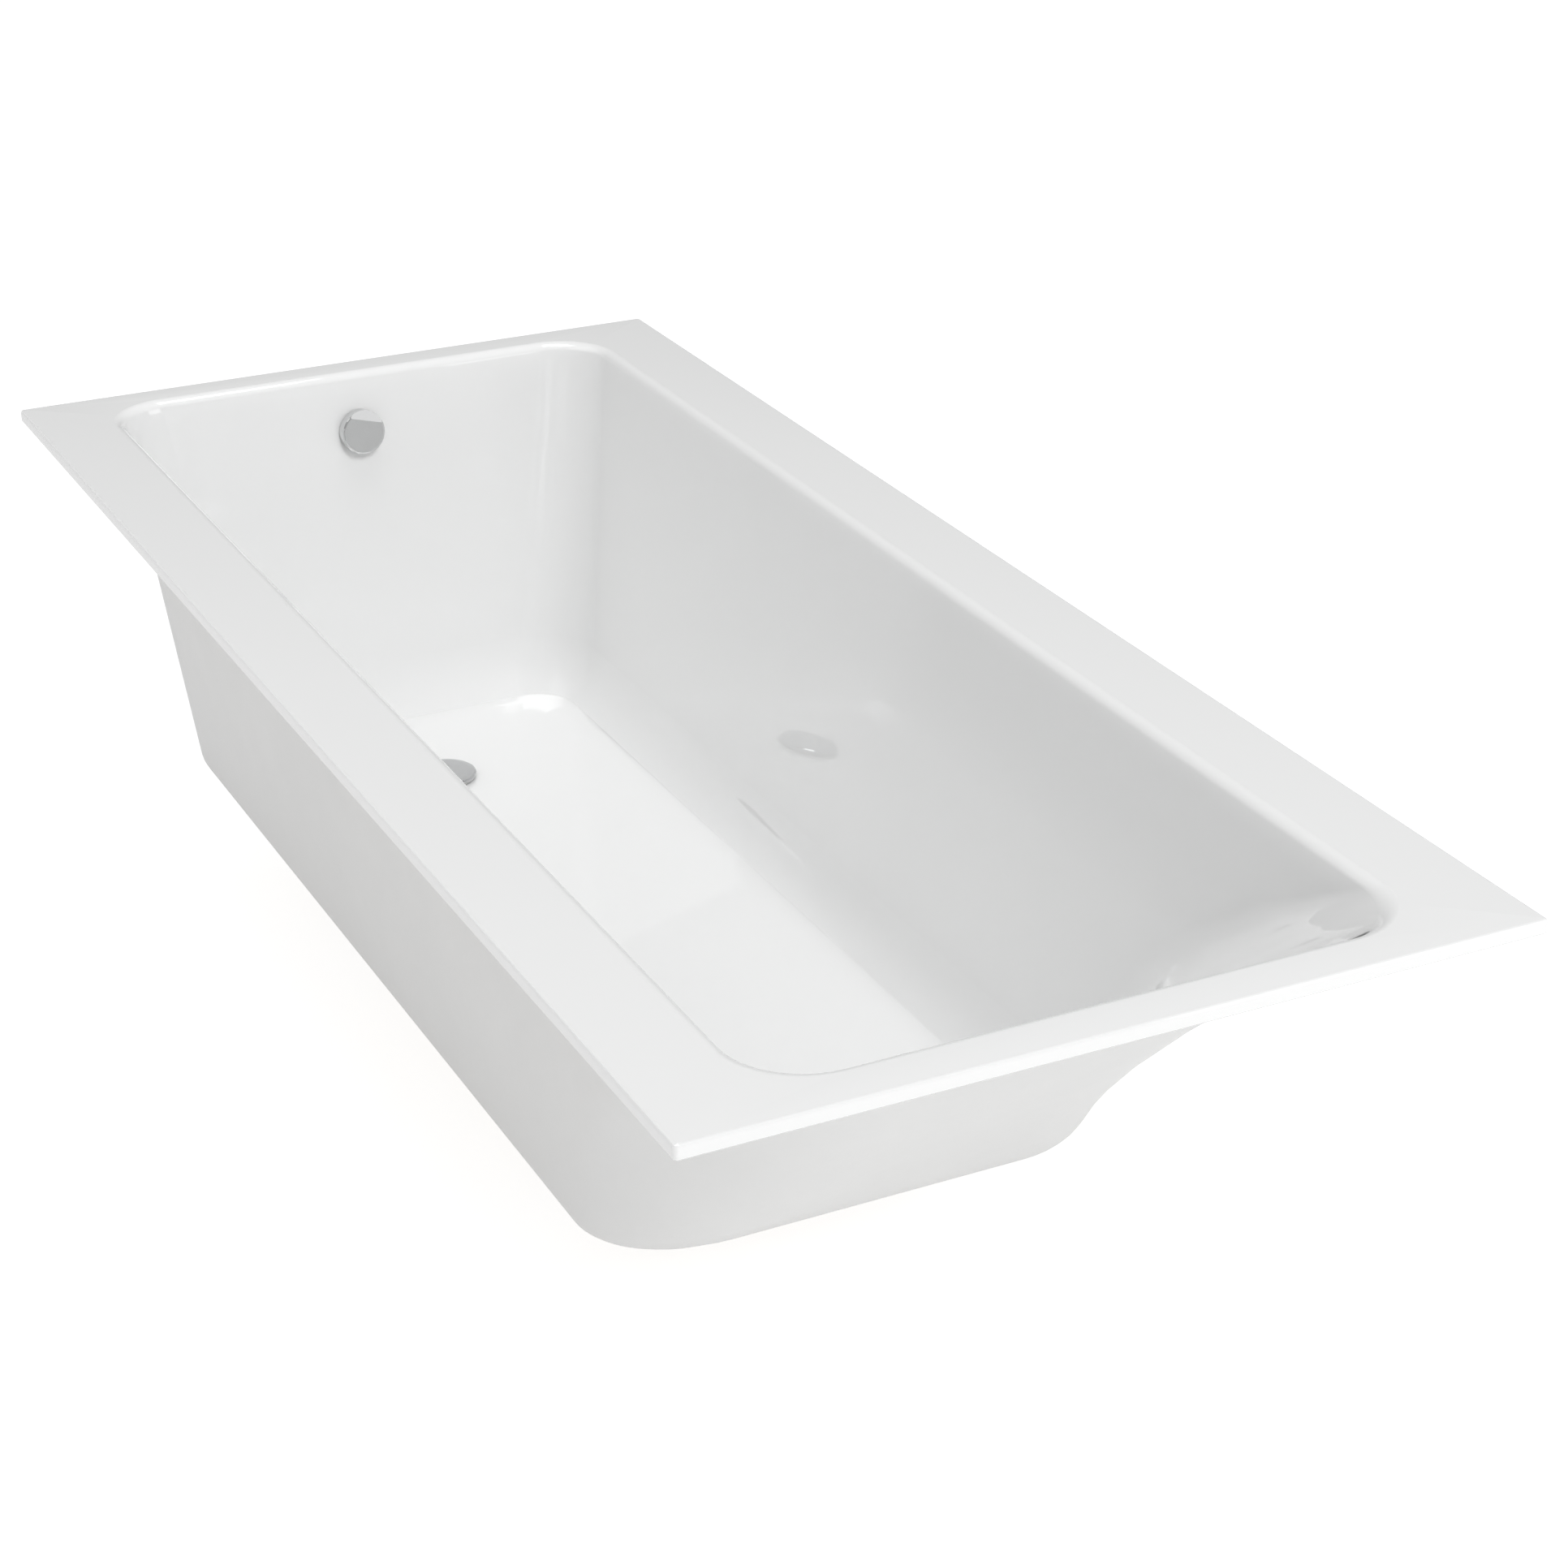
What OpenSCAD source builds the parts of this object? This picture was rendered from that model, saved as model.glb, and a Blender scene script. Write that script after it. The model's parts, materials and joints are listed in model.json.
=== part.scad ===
// Drop-in acrylic bathtub with a rotary pop-up waste, a shallow trap and a levelling leg set.
// X runs from the drain end (-X) to the head end (+X), Y from front (-Y) to rear, Z is up.
// The origin is on the floor of the room, under the middle of the rim.

/* [Rim] */
// Length of the rim, drain end to head end
rim_l = 1700; // [1620:10:1800]
// Width of the rim, front to rear
rim_w = 740; // [700:10:800]
// Height of the rim above the floor of the room
rim_z = 530; // [528:2:560]
// Drop of the lip round the rim
lip_h = 13; // [10:1:18]
// Thickness of the lip
lip_t = 5; // [4:0.5:6]
// Rounding of the lip's upper edge
lip_edge_r = 3; // [2:0.5:4]
// Radius of the rim's four outer corners
rim_corner_r = 4; // [4:1:12]
// Width of the rim along each long side
side_ledge = 78; // [66:1:95]
// Width of the rim at the drain end
drain_ledge = 33; // [33:1:45]
// Width of the rim at the head end
head_ledge = 37; // [33:1:60]
// Radius where the rim rolls over into the basin
rim_fillet = 12; // [8:1:15]

/* [Basin] */
// Depth of the basin below the rim
basin_depth = 405; // [390:5:410]
// Thickness of the acrylic shell
shell_t = 5; // [4:0.5:6]
// Lean of the drain end wall from upright, in degrees
drain_lean = 5.5; // [4:0.5:8]
// Lean of the two long walls from upright, in degrees
side_lean = 7; // [5:0.5:9]
// Lean of the backrest from upright, in degrees
head_lean = 43; // [38:0.5:45]
// Radius between the upright walls and the floor, outside
floor_fillet = 30; // [24:1:36]
// Angle between the floor and the foot of the upright walls' rounding, inside, in degrees
floor_crease = 44; // [0:1:45]
// Radius between the backrest and the floor
back_fillet = 220; // [160:5:250]
// Corner radius of the drain end wall at the top
drain_corner_top = 58; // [45:1:75]
// Corner radius of the drain end wall at the floor
drain_corner_low = 72; // [60:1:90]
// Corner radius of the backrest at the top
head_corner_top = 62; // [45:1:80]
// Corner radius of the backrest at the floor
head_corner_low = 50; // [40:1:90]
// Extra corner radius of the backrest at half depth
head_corner_swell = 115; // [60:5:130]

/* [Underframe] */
// Thickness of the board under the basin floor
board_t = 14; // [10:1:16]
// Width of the board
board_w = 390; // [350:5:400]
// Distance of the board from the drain end of the rim
board_from_drain = 125; // [120:5:150]
// Distance of the board from the head end of the rim
board_from_head = 545; // [540:5:600]
// Corner radius of the board
board_r = 40; // [20:5:60]
// Hole in the board round the waste
board_hole_d = 136; // [130:2:146]
// Thickness of the battens under the rim
batten_t = 12; // [10:1:12]
// Width of the battens under the long sides
side_batten_w = 44; // [30:1:50]
// Width of the battens under the two ends
end_batten_w = 20; // [12:1:22]
// Height of the leg rails
rail_h = 30; // [26:1:34]
// Inside width of the leg rails
rail_in_w = 36; // [30:1:44]
// Width of each fixing lip of the rails
rail_lip_w = 15; // [12:1:20]
// Sheet thickness of the leg rails
rail_t = 2; // [1.5:0.5:3]
// Length of the leg rails
rail_l = 340; // [320:5:360]
// Distance from the waste to the drain end rail
rail_from_waste = 135; // [125:5:180]
// Distance from the head end of the rim to the head end rail
rail_from_head = 730; // [700:5:780]
// Distance of each foot from the centre line
foot_y = 96; // [80:2:140]
// Diameter of the threaded foot studs
stud_d = 10; // [8:1:12]
// Diameter of the foot pads
pad_d = 44; // [40:1:60]
// Height of the foot pads
pad_h = 13; // [11:1:18]
// Levelling travel of each foot, up and down
foot_travel = 15; // [8:1:15]

/* [Waste] */
// Distance of the waste from the drain end of the rim
waste_from_drain = 275; // [270:5:300]
// Hole for the waste in the basin floor
waste_hole_d = 52; // [50:1:54]
// Diameter of the plug's cover
cover_d = 70; // [66:1:76]
// Diameter of the waste flange under the cover
flange_d = 67; // [62:1:72]
// Outside diameter of the waste flange's threaded neck
neck_d = 46; // [45:0.5:48]
// Diameter of the plug stem
stem_d = 8; // [6:0.5:9]
// Lift of the plug when it is open
plug_lift = 12; // [8:1:12]
// Outside diameter of the waste chamber
chamber_d = 64; // [62:1:68]
// Wall of the plastic castings
cast_t = 3; // [2.5:0.5:3.5]
// Length of the lever that lifts the plug
lever_l = 22; // [20:0.5:22]
// Diameter of the lever's shaft
shaft_d = 7; // [5:0.5:8]

/* [Overflow] */
// Depth of the overflow's centre below the rim
over_drop = 66; // [62:1:80]
// Hole for the overflow in the drain end wall
over_hole_d = 42; // [41:1:43]
// Diameter of the overflow knob
knob_d = 50; // [50:1:60]
// How far the knob's face stands out from the wall
knob_proud = 15; // [13:1:18]
// Width of the water gap behind the knob
knob_gap = 2; // [2:0.5:4]
// Distance of the knob's slanted grip from its axis
grip_from = 14; // [12:0.5:16]
// Slant of the knob's grip, in degrees
grip_slant = 19; // [10:1:22]
// Turn of the knob's grip from the top when the plug is shut, in degrees
grip_turn = 15; // [-30:5:30]
// Diameter of the knob's spindle
spindle_d = 8; // [6:0.5:9]
// Depth of the overflow housing behind the wall
housing_depth = 30; // [28:1:32]

/* [Pipes] */
// Outside diameter of the overflow hose over its ribs
hose_d = 32; // [30:1:34]
// Depth of the hose's ribs
rib_depth = 3; // [2:0.5:3]
// Distance from rib to rib along the hose
rib_pitch = 5.6; // [5:0.2:8]
// Bore of the hose
hose_bore = 23; // [22:0.5:24]
// Bend radius of the hose where it turns under the tub
hose_bend_r = 66; // [60:1:70]
// Diameter of the control cable's sleeve
cable_d = 6; // [5:0.5:6]
// Outside diameter of the outlet pipe
outlet_d = 40; // [38:1:40]
// Length of the outlet's straight run past its bend
outlet_l = 80; // [60:5:100]
// Half width of the trap
trap_r = 33; // [32:1:36]
// Distance from the trap's inlet to its outlet
trap_offset = 77; // [75:1:85]
// Depth of the trap's pot
trap_pot_h = 40; // [38:1:41]

/* [Fits] */
// Radial clearance of a running fit
run_gap = 0.1; // [0.05:0.01:0.1]
// Radial clearance of a loose or threaded fit
slip_gap = 0.2; // [0.15:0.05:0.3]
// Gap where a piece is seated without touching
seat_gap = 0.3; // [0.25:0.05:0.4]

/* [Hidden] */
$fn = 72;

// Heights worked out from the rim
floor_z = rim_z - basin_depth;
under_z = floor_z - shell_t;
board_z = under_z - board_t;
rail_z = board_z - rail_h;

// Tops of the basin's walls, measured from the middle of the tub at rim height
function roll_run(lean) = rim_fillet * tan((90 - lean) / 2);
wall_drain = rim_l / 2 - drain_ledge - roll_run(drain_lean);
wall_head = rim_l / 2 - head_ledge - roll_run(head_lean);
wall_side = rim_w / 2 - side_ledge - roll_run(side_lean);

// Places along the tub
waste_x = -rim_l / 2 + waste_from_drain;
over_z = rim_z - over_drop;
over_x = -(wall_drain - over_drop * tan(drain_lean));
rail_drain_x = waste_x + rail_from_waste;
rail_head_x = rim_l / 2 - rail_from_head;

// How far a cut runs past the face it opens, and how far a joined shape runs into its neighbour
past = 1;
root = 1;
press_gap = 0.05;

// Small sizes of the rim and the underframe
corner_steps = 12;
lip_foot = 1.5;
batten_gap = 4;
end_batten_gap = 6;
batten_end_gap = 30;
stud_room = 2;
foot_room = rail_z - pad_h;
nut_h = min(8, 0.4 * foot_room);
nut_r = 9.8;
pad_bore_z = 5;
pad_rim_h = 4;
pad_socket_wall = 5;
spanner_h = min(7, 0.35 * foot_room);
screw_shank_r = 2.2;
screw_head_r = 4.5;
screw_head_h = 2.5;
screw_depth = 10;
screw_y = 145;
slot_l = 5;
slot_w = 1;
slot_depth = 1;
chamfer = 1;

// Small sizes of the waste
gasket_thin = 1;
gasket_thick = 3;
flange_t = 2;
flange_edge = 0.8;
guide_wall = 3;
guide_h = 5;
arm_w = 3;
arm_h = 4;
body_flange_r = 40;
body_flange_t = 4;
collar_depth = 15;
collar_rib_w = 3;
collar_rib_h = 8;
collar_rib_l = 5;
chamber_h = 42;
lever_drop = 26;
tail_r = 22;
inlet_drop = 28;
stub_r = hose_bore / 2 * cos(22.5) - run_gap;
stub_bore_r = stub_r - 2.5;
boss_reach = 38;
hose_grip = 26;
lever_w = 8;
lever_t = 4;
crank_l = 13;
crank_wall = 2.5;
crank_r = 3;
crank_w = 4;
shaft_wall = 3.5;
shaft_end = 23;
wire_hole_r = 1.2;
cup_r = 19.5;
cup_bore_r = 17;
cup_y = 34;
cup_l = 16;
cup_floor = 2;
shaft_seal_t = 2;
crank_y = cup_y + 7;
gland_from_cup = 9;
cap_t = 2.5;
cap_plug = 2;
boss_wall = 3;

// Small sizes of the overflow
knob_t = 2.4;
knob_edge = [[2.2, 0], [1.1, 0.3], [0.3, 1.1], [0, 2.2]];
hub_wall = 3.5;
hub_gap = 0.6;
grub_drop = 2.6;
grub_r = 1.5;
grub_l = 3.2;
over_flange_t = 2.5;
hub_z = gasket_thin + over_flange_t + hub_gap;
water_hole_r = 4.2;
water_hole_from = 14.5;
face_screw_r = 2;
face_screw_head_r = 3.4;
face_screw_head_h = 2;
face_screw_l = 18;
over_flange_r = knob_d / 2 - knob_t / 2 - 0.8;
over_hub_l = 4;
pillar_r = 3.5;
pillar_y = over_hole_d / 2 - pillar_r - 1.1;
drum_r = pillar_y - pillar_r - 0.9;
drum_h = 8;
drum_rim = 2;
drum_groove = 2.5;
housing_r = 25;
housing_flange_r = 32;
housing_flange_t = 3;
housing_back = -shell_t - gasket_thick;
housing_reach = 36;
gland_r = 5;
gland_y = 22;
gland_from = 6;
high_gland_x = 25;

// Levels of the waste below the basin floor
body_top = under_z - gasket_thick;
chamber_top = body_top - collar_depth;
chamber_bottom = body_top - chamber_h;
lever_z = body_top - lever_drop;
lever_tilt = asin(plug_lift / 2 / lever_l);
lever_x = lever_l * cos(lever_tilt);
lever_tip_r = 4;
stem_bottom = lever_z - plug_lift / 2 + lever_tip_r + seat_gap;
flange_top = floor_z + gasket_thin + flange_t;
seat_depth = 6;
seat_run = 2.2;
neck_bore_r = neck_d / 2 - cast_t;
cover_z = flange_top + seat_gap;
cover_h = 4.5;
cover_dome = 1;
cover_under = 1.6;
plug_r = 17;
plug_depth = 6;
plug_hub_l = 3;
stem_nut_h = 4;
seal_h = 3.4;
stem_depth = 1;
gland_l = 14;
gland_in = 5;
gland_x = lever_x - cup_bore_r - 3;

// Levels of the trap
collar_h = 22;
squeeze_h = 3;
union_h = 16.5;
pot_top = chamber_bottom - collar_h - 2 * squeeze_h - 1;
pot_bottom = pot_top - trap_pot_h;
dip_flange_t = 2.5;
tail_bottom = pot_top + dip_flange_t + 0.5;
tail_h = chamber_bottom - tail_bottom;
socket_h = 12;
socket_r = outlet_d / 2 + slip_gap + 5;
dip_r = 19;
dip_wall = 2;
dip_clear = 14;
collar_r = 26;
elbow_r = 21.5;
elbow_z = pot_top + socket_h + 2 * squeeze_h - 0.5;
outlet_bore_r = outlet_d / 2 - 2;
cap_z = (pot_top + pot_bottom) / 2;
cap_boss_r = 16;
cap_bore_r = 12;
cap_boss_l = 12;
cap_head_h = 5;
cap_grip_r = 10;
cap_grip_h = 11;
cap_thread_l = 9;
cap_seal_t = 1.5;
outlet_seal_t = 2.2;
pot_step = 1.6;
nut_wall = 4;
nut_lip = 5;
rib_w = 4;
rib_h = 2;

// Common shapes
module tube(od, id, h) {
  difference() {
    cylinder(d = od, h = h);
    translate([0, 0, -past])
      cylinder(d = id, h = h + 2 * past);
  }
}

module hex_nut(r, bore_r, h) {
  difference() {
    cylinder(r = r, h = h, $fn = 6);
    translate([0, 0, -past])
      cylinder(r = bore_r, h = h + 2 * past);
  }
}

// Cylinder along Y, centred on the origin
module across(r, l) {
  rotate([90, 0, 0])
    cylinder(r = r, h = l, center = true);
}

module plate(l, w, r, t) {
  linear_extrude(t)
    union() {
      translate([r, 0])
        square([l - 2 * r, w]);
      translate([0, r])
        square([l, w - 2 * r]);
      for (x = [r, l - r], y = [r, w - r])
        translate([x, y])
          circle(r = r);
    }
}

module at_waste() {
  translate([waste_x, 0, 0])
    children();
}

// The overflow's frame: its Z axis points into the tub and its X axis down the wall
module at_overflow() {
  translate([over_x, 0, over_z])
    rotate([0, 90 - drain_lean, 0])
      children();
}

// Places of the four feet
function foot_x(end) = end == 0 ? rail_drain_x : rail_head_x;

// Places of the rail screws, in the middle of each fixing lip
function screw_x(end, lip) = foot_x(end) + lip * (rail_in_w / 2 + rail_t + rail_lip_w / 2);

// A leaning wall's distance from the middle of the tub at a depth, closing onto the floor by an arc
function wall_at(t, top, lean, depth, r, crease) =
  let (mid = depth - r * cos(crease), start = mid + r * sin(lean),
       cx = top - mid * tan(lean) - r / cos(lean))
  t <= start ? top - t * tan(lean) : cx + sqrt(max(0, r * r - (t - mid) * (t - mid)));

// Radius inside, for which the creased arc meets the floor where the outside arc does
function inner_fillet(lean) =
  (floor_fillet - shell_t) * (1 / cos(lean) - tan(lean))
  / (1 / cos(lean) - sin(floor_crease) - cos(floor_crease) * tan(lean));

// How far the rolled rim edge stands back from the wall's straight line
function rim_flare(t, lean) =
  t >= rim_fillet * (1 - sin(lean)) ? 0
  : roll_run(lean) - sqrt(max(0, rim_fillet * rim_fillet - pow(rim_fillet - t, 2))) + t * tan(lean);

// One closed section: straight sides with a round corner at each end of each long side
function section(x0, x1, y, r0, r1, z) = [
  for (q = [[x1 - r1, y - r1, r1, 0], [x0 + r0, y - r0, r0, 90],
            [x0 + r0, r0 - y, r0, 180], [x1 - r1, r1 - y, r1, 270]])
    for (i = [0 : corner_steps])
      let (a = q[3] + 90 * i / corner_steps)
      [q[0] + q[2] * cos(a), q[1] + q[2] * sin(a), z]
];

// The basin's section at a depth; grow is 0 inside and the shell's thickness outside
function basin_ring(t, grow) =
  let (depth = basin_depth + grow, k = t / depth, inside = grow == 0,
       flare = inside ? 1 : 0,
       y = wall_at(t, wall_side + grow, side_lean, depth,
                   inside ? inner_fillet(side_lean) : floor_fillet, inside ? floor_crease : 0),
       x0 = wall_at(t, wall_drain + grow, drain_lean, depth,
                    inside ? inner_fillet(drain_lean) : floor_fillet, inside ? floor_crease : 0),
       x1 = wall_at(t, wall_head + grow, head_lean, depth, back_fillet + grow, 0),
       tuck = wall_drain + grow - t * tan(drain_lean) - x0,
       r0 = drain_corner_top + (drain_corner_low - drain_corner_top) * k + grow - tuck,
       r1 = head_corner_top * (1 - k) + head_corner_low * k + 4 * head_corner_swell * k * (1 - k) + grow)
  section(-x0 - flare * rim_flare(t, drain_lean), x1 + flare * rim_flare(t, head_lean),
          y + flare * rim_flare(t, side_lean), r0 + flare * rim_flare(t, drain_lean),
          r1 + flare * rim_flare(t, side_lean), rim_z - t);

// A rectangular ring of the rim, set in from its outline
function rim_ring(inset, z) =
  let (r = max(rim_corner_r - inset, 0.6))
  section(inset - rim_l / 2, rim_l / 2 - inset, rim_w / 2 - inset, r, r, z);

// Depths of the sections
function roll_depths() = [for (a = [0 : 18 : 72]) rim_fillet * (1 - cos(a))];
function wall_depths(grow) = [for (s = [0.06, 0.18, 0.34, 0.5, 0.64, 0.75]) s * (basin_depth + grow)];
function back_depths(grow) =
  let (r = back_fillet + grow, d = basin_depth + grow, a = r * (1 - sin(head_lean)),
       b = d - (grow == 0 ? crease_depths()[0] : floor_depths()[0]))
  [for (s = [0 : 0.34 : 0.7]) if (a > b + 3) d - a + (a - b) * s];
function floor_depths() =
  [for (a = [84, 70, 57, 45, 34, 24, 15, 7, 0]) basin_depth + shell_t - floor_fillet * (1 - cos(a))];
function crease_depths() =
  let (r = inner_fillet(side_lean))
  [for (k = [0.98, 0.78, 0.58, 0.42, 0.28, 0.17, 0.09, 0.045, 0.015, 0])
     basin_depth - r * (cos(floor_crease) - cos(floor_crease + k * (84 - floor_crease)))];

function backwards(v) = [for (i = [len(v) - 1 : -1 : 0]) v[i]];

shell_rings = concat(
  [for (t = backwards(concat(roll_depths(), wall_depths(0), back_depths(0), crease_depths()))) basin_ring(t, 0)],
  [rim_ring(lip_edge_r, rim_z), rim_ring(lip_edge_r * 0.3, rim_z - lip_edge_r * 0.3),
   rim_ring(0, rim_z - lip_edge_r), rim_ring(0, rim_z - lip_h + lip_foot), rim_ring(lip_foot, rim_z - lip_h),
   rim_ring(lip_t, rim_z - lip_h), rim_ring(lip_t, rim_z - shell_t)],
  [for (t = concat([shell_t], wall_depths(shell_t), back_depths(shell_t), floor_depths()))
     basin_ring(t, shell_t)]);

// Closed skin over a list of rings, with a flat fan at each end
module skin(rings) {
  n = len(rings[0]);
  m = len(rings);
  ends = [for (k = [0, m - 1]) [for (c = [0 : 2]) (rings[k][0][c] + rings[k][round(n / 2)][c]) / 2]];
  points = concat([for (r = rings) each r], ends);
  sides = [for (i = [0 : m - 2], j = [0 : n - 1])
    let (a = i * n + j, b = i * n + (j + 1) % n)
    each [[a, b, b + n], [a, b + n, a + n]]];
  first = [for (j = [0 : n - 1]) [n * m, (j + 1) % n, j]];
  last = [for (j = [0 : n - 1]) [n * m + 1, (m - 1) * n + j, (m - 1) * n + (j + 1) % n]];
  polyhedron(points, concat(first, sides, last), convexity = 6);
}

module tub_shell() {
  color("white")
    difference() {
      skin(shell_rings);
      at_waste()
        translate([0, 0, under_z - past])
          cylinder(d = waste_hole_d, h = shell_t + 2 * past);
      at_overflow()
        translate([0, 0, -2 * shell_t])
          cylinder(d = over_hole_d, h = 4 * shell_t);
    }
}

module base_board() {
  l = rim_l - board_from_drain - board_from_head;
  color("burlywood")
    difference() {
      translate([board_from_drain - rim_l / 2, -board_w / 2, board_z])
        plate(l, board_w, board_r, board_t);
      at_waste()
        translate([0, 0, board_z - past])
          cylinder(d = board_hole_d, h = board_t + 2 * past);
      for (end = [0, 1], side = [-1, 1]) {
        translate([foot_x(end), side * foot_y, board_z - past])
          cylinder(r = stud_d / 2 + stud_room, h = board_t + 2 * past);
        for (lip = [-1, 1])
          translate([screw_x(end, lip), side * screw_y, board_z - past])
            cylinder(r = screw_shank_r + slip_gap, h = screw_depth + past);
      }
    }
}

module side_batten(side) {
  inner = wall_side + shell_t + batten_gap;
  l = rim_l - 2 * (lip_t + batten_end_gap);
  w = min(side_batten_w, rim_w / 2 - lip_t - batten_gap - inner);
  y = side * (rim_w / 2 - lip_t - batten_gap - w / 2);
  color("tan")
    translate([-l / 2, y - w / 2, rim_z - shell_t - batten_t])
      cube([l, w, batten_t]);
}

module end_batten(x_out, ledge) {
  w = min(end_batten_w, ledge - lip_t - 2 * batten_gap);
  l = rim_w - 2 * (side_ledge + drain_corner_top);
  inset = lip_t + end_batten_gap;
  color("tan")
    translate([x_out > 0 ? x_out - inset - w : x_out + inset, -l / 2, rim_z - shell_t - batten_t])
      cube([w, l, batten_t]);
}

module rim_batten_front() { side_batten(-1); }

module rim_batten_rear() { side_batten(1); }

module rim_batten_head() { end_batten(rim_l / 2, head_ledge); }

module rim_batten_drain() { end_batten(-rim_l / 2, drain_ledge); }

// Hat-section rail across the tub, lips up against the board
module leg_rail(end) {
  b = rail_in_w / 2;
  o = b + rail_t;
  a = o + rail_lip_w;
  color("silver")
    difference() {
      translate([foot_x(end), 0, rail_z])
        rotate([90, 0, 0])
          linear_extrude(rail_l, center = true)
            polygon([[-a, rail_h], [-a, rail_h - rail_t], [-o, rail_h - rail_t], [-o, 0], [o, 0],
                     [o, rail_h - rail_t], [a, rail_h - rail_t], [a, rail_h], [b, rail_h],
                     [b, rail_t], [-b, rail_t], [-b, rail_h]]);
      for (side = [-1, 1]) {
        translate([foot_x(end), side * foot_y, rail_z - past])
          cylinder(r = stud_d / 2 + slip_gap, h = rail_t + 2 * past);
        for (lip = [-1, 1])
          translate([screw_x(end, lip), side * screw_y, board_z - rail_t - past])
            cylinder(r = screw_shank_r + slip_gap, h = rail_t + 2 * past);
      }
    }
}

module leg_rail_drain() { leg_rail(0); }

module leg_rail_head() { leg_rail(1); }

module rail_screws() {
  color("gainsboro")
    for (end = [0, 1], side = [-1, 1], lip = [-1, 1])
      translate([screw_x(end, lip), side * screw_y, board_z - rail_t - screw_head_h])
        union() {
          difference() {
            cylinder(r = screw_head_r, h = screw_head_h);
            for (a = [0, 90])
              rotate([0, 0, a])
                translate([-slot_l / 2, -slot_w / 2, -slot_depth])
                  cube([slot_l, slot_w, 2 * slot_depth]);
          }
          cylinder(r = screw_shank_r, h = screw_head_h + rail_t + screw_depth - past);
        }
}

module foot_nuts() {
  color("silver")
    for (end = [0, 1], side = [-1, 1], z = [rail_z - nut_h, rail_z + rail_t])
      translate([foot_x(end), side * foot_y, z])
        hex_nut(nut_r, stud_d / 2 + run_gap, nut_h);
}

// Threaded stud with a spanner collar above the pad
module foot_stud(end, side) {
  top = rail_z + rail_t + nut_h + foot_travel + chamfer;
  color("silver")
    translate([foot_x(end), side * foot_y, 0])
      union() {
        translate([0, 0, pad_bore_z])
          cylinder(d = stud_d, h = top - chamfer - pad_bore_z);
        translate([0, 0, top - chamfer])
          cylinder(d1 = stud_d, d2 = stud_d - 2 * chamfer, h = chamfer);
        translate([0, 0, pad_h])
          cylinder(r = nut_r, h = spanner_h, $fn = 6);
      }
}

// Swivel pad: a dished disc with a socket for the stud
module foot_pad(end, side) {
  r = pad_d / 2;
  b = stud_d / 2;
  color("dimgray")
    translate([foot_x(end), side * foot_y, 0])
      rotate_extrude()
        polygon([[0, 0], [r - chamfer, 0], [r, chamfer], [r, pad_rim_h],
                 [r - 2 * chamfer, pad_rim_h + 1.5 * chamfer],
                 [b + pad_socket_wall + 2 * chamfer, pad_bore_z + 2 * chamfer], [b + pad_socket_wall, pad_h],
                 [b + run_gap, pad_h], [b + run_gap, pad_bore_z], [0, pad_bore_z]]);
}

module foot_stud_drain_front() { foot_stud(0, -1); }

module foot_stud_drain_rear() { foot_stud(0, 1); }

module foot_stud_head_front() { foot_stud(1, -1); }

module foot_stud_head_rear() { foot_stud(1, 1); }

module foot_pad_drain_front() { foot_pad(0, -1); }

module foot_pad_drain_rear() { foot_pad(0, 1); }

module foot_pad_head_front() { foot_pad(1, -1); }

module foot_pad_head_rear() { foot_pad(1, 1); }

// Dished metal flange with a threaded neck and a three-armed guide for the stem
module waste_flange() {
  r = neck_d / 2;
  plate_z = floor_z + gasket_thin;
  guide_z = chamber_top;
  color("silver")
    at_waste()
      union() {
        rotate_extrude()
          polygon([[neck_bore_r, guide_z], [r, guide_z], [r, plate_z], [flange_d / 2, plate_z],
                   [flange_d / 2, flange_top - flange_edge], [flange_d / 2 - flange_edge, flange_top],
                   [neck_bore_r + seat_run, flange_top], [neck_bore_r, flange_top - seat_depth]]);
        difference() {
          union() {
            translate([0, 0, guide_z])
              cylinder(r = stem_d / 2 + guide_wall, h = guide_h);
            for (a = [60, 180, 300])
              rotate([0, 0, a])
                translate([0, -arm_w / 2, guide_z])
                  cube([neck_bore_r + root, arm_w, arm_h]);
          }
          translate([0, 0, guide_z - past])
            cylinder(r = stem_d / 2 + run_gap, h = guide_h + 2 * past);
        }
      }
}

module waste_gasket_top() {
  color("dimgray")
    at_waste()
      translate([0, 0, floor_z])
        tube(flange_d - 2, waste_hole_d + 2 * slip_gap, gasket_thin);
}

module waste_gasket_bottom() {
  color("dimgray")
    at_waste()
      translate([0, 0, body_top])
        tube(2 * body_flange_r - 4, neck_d + 2, gasket_thick);
}

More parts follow.
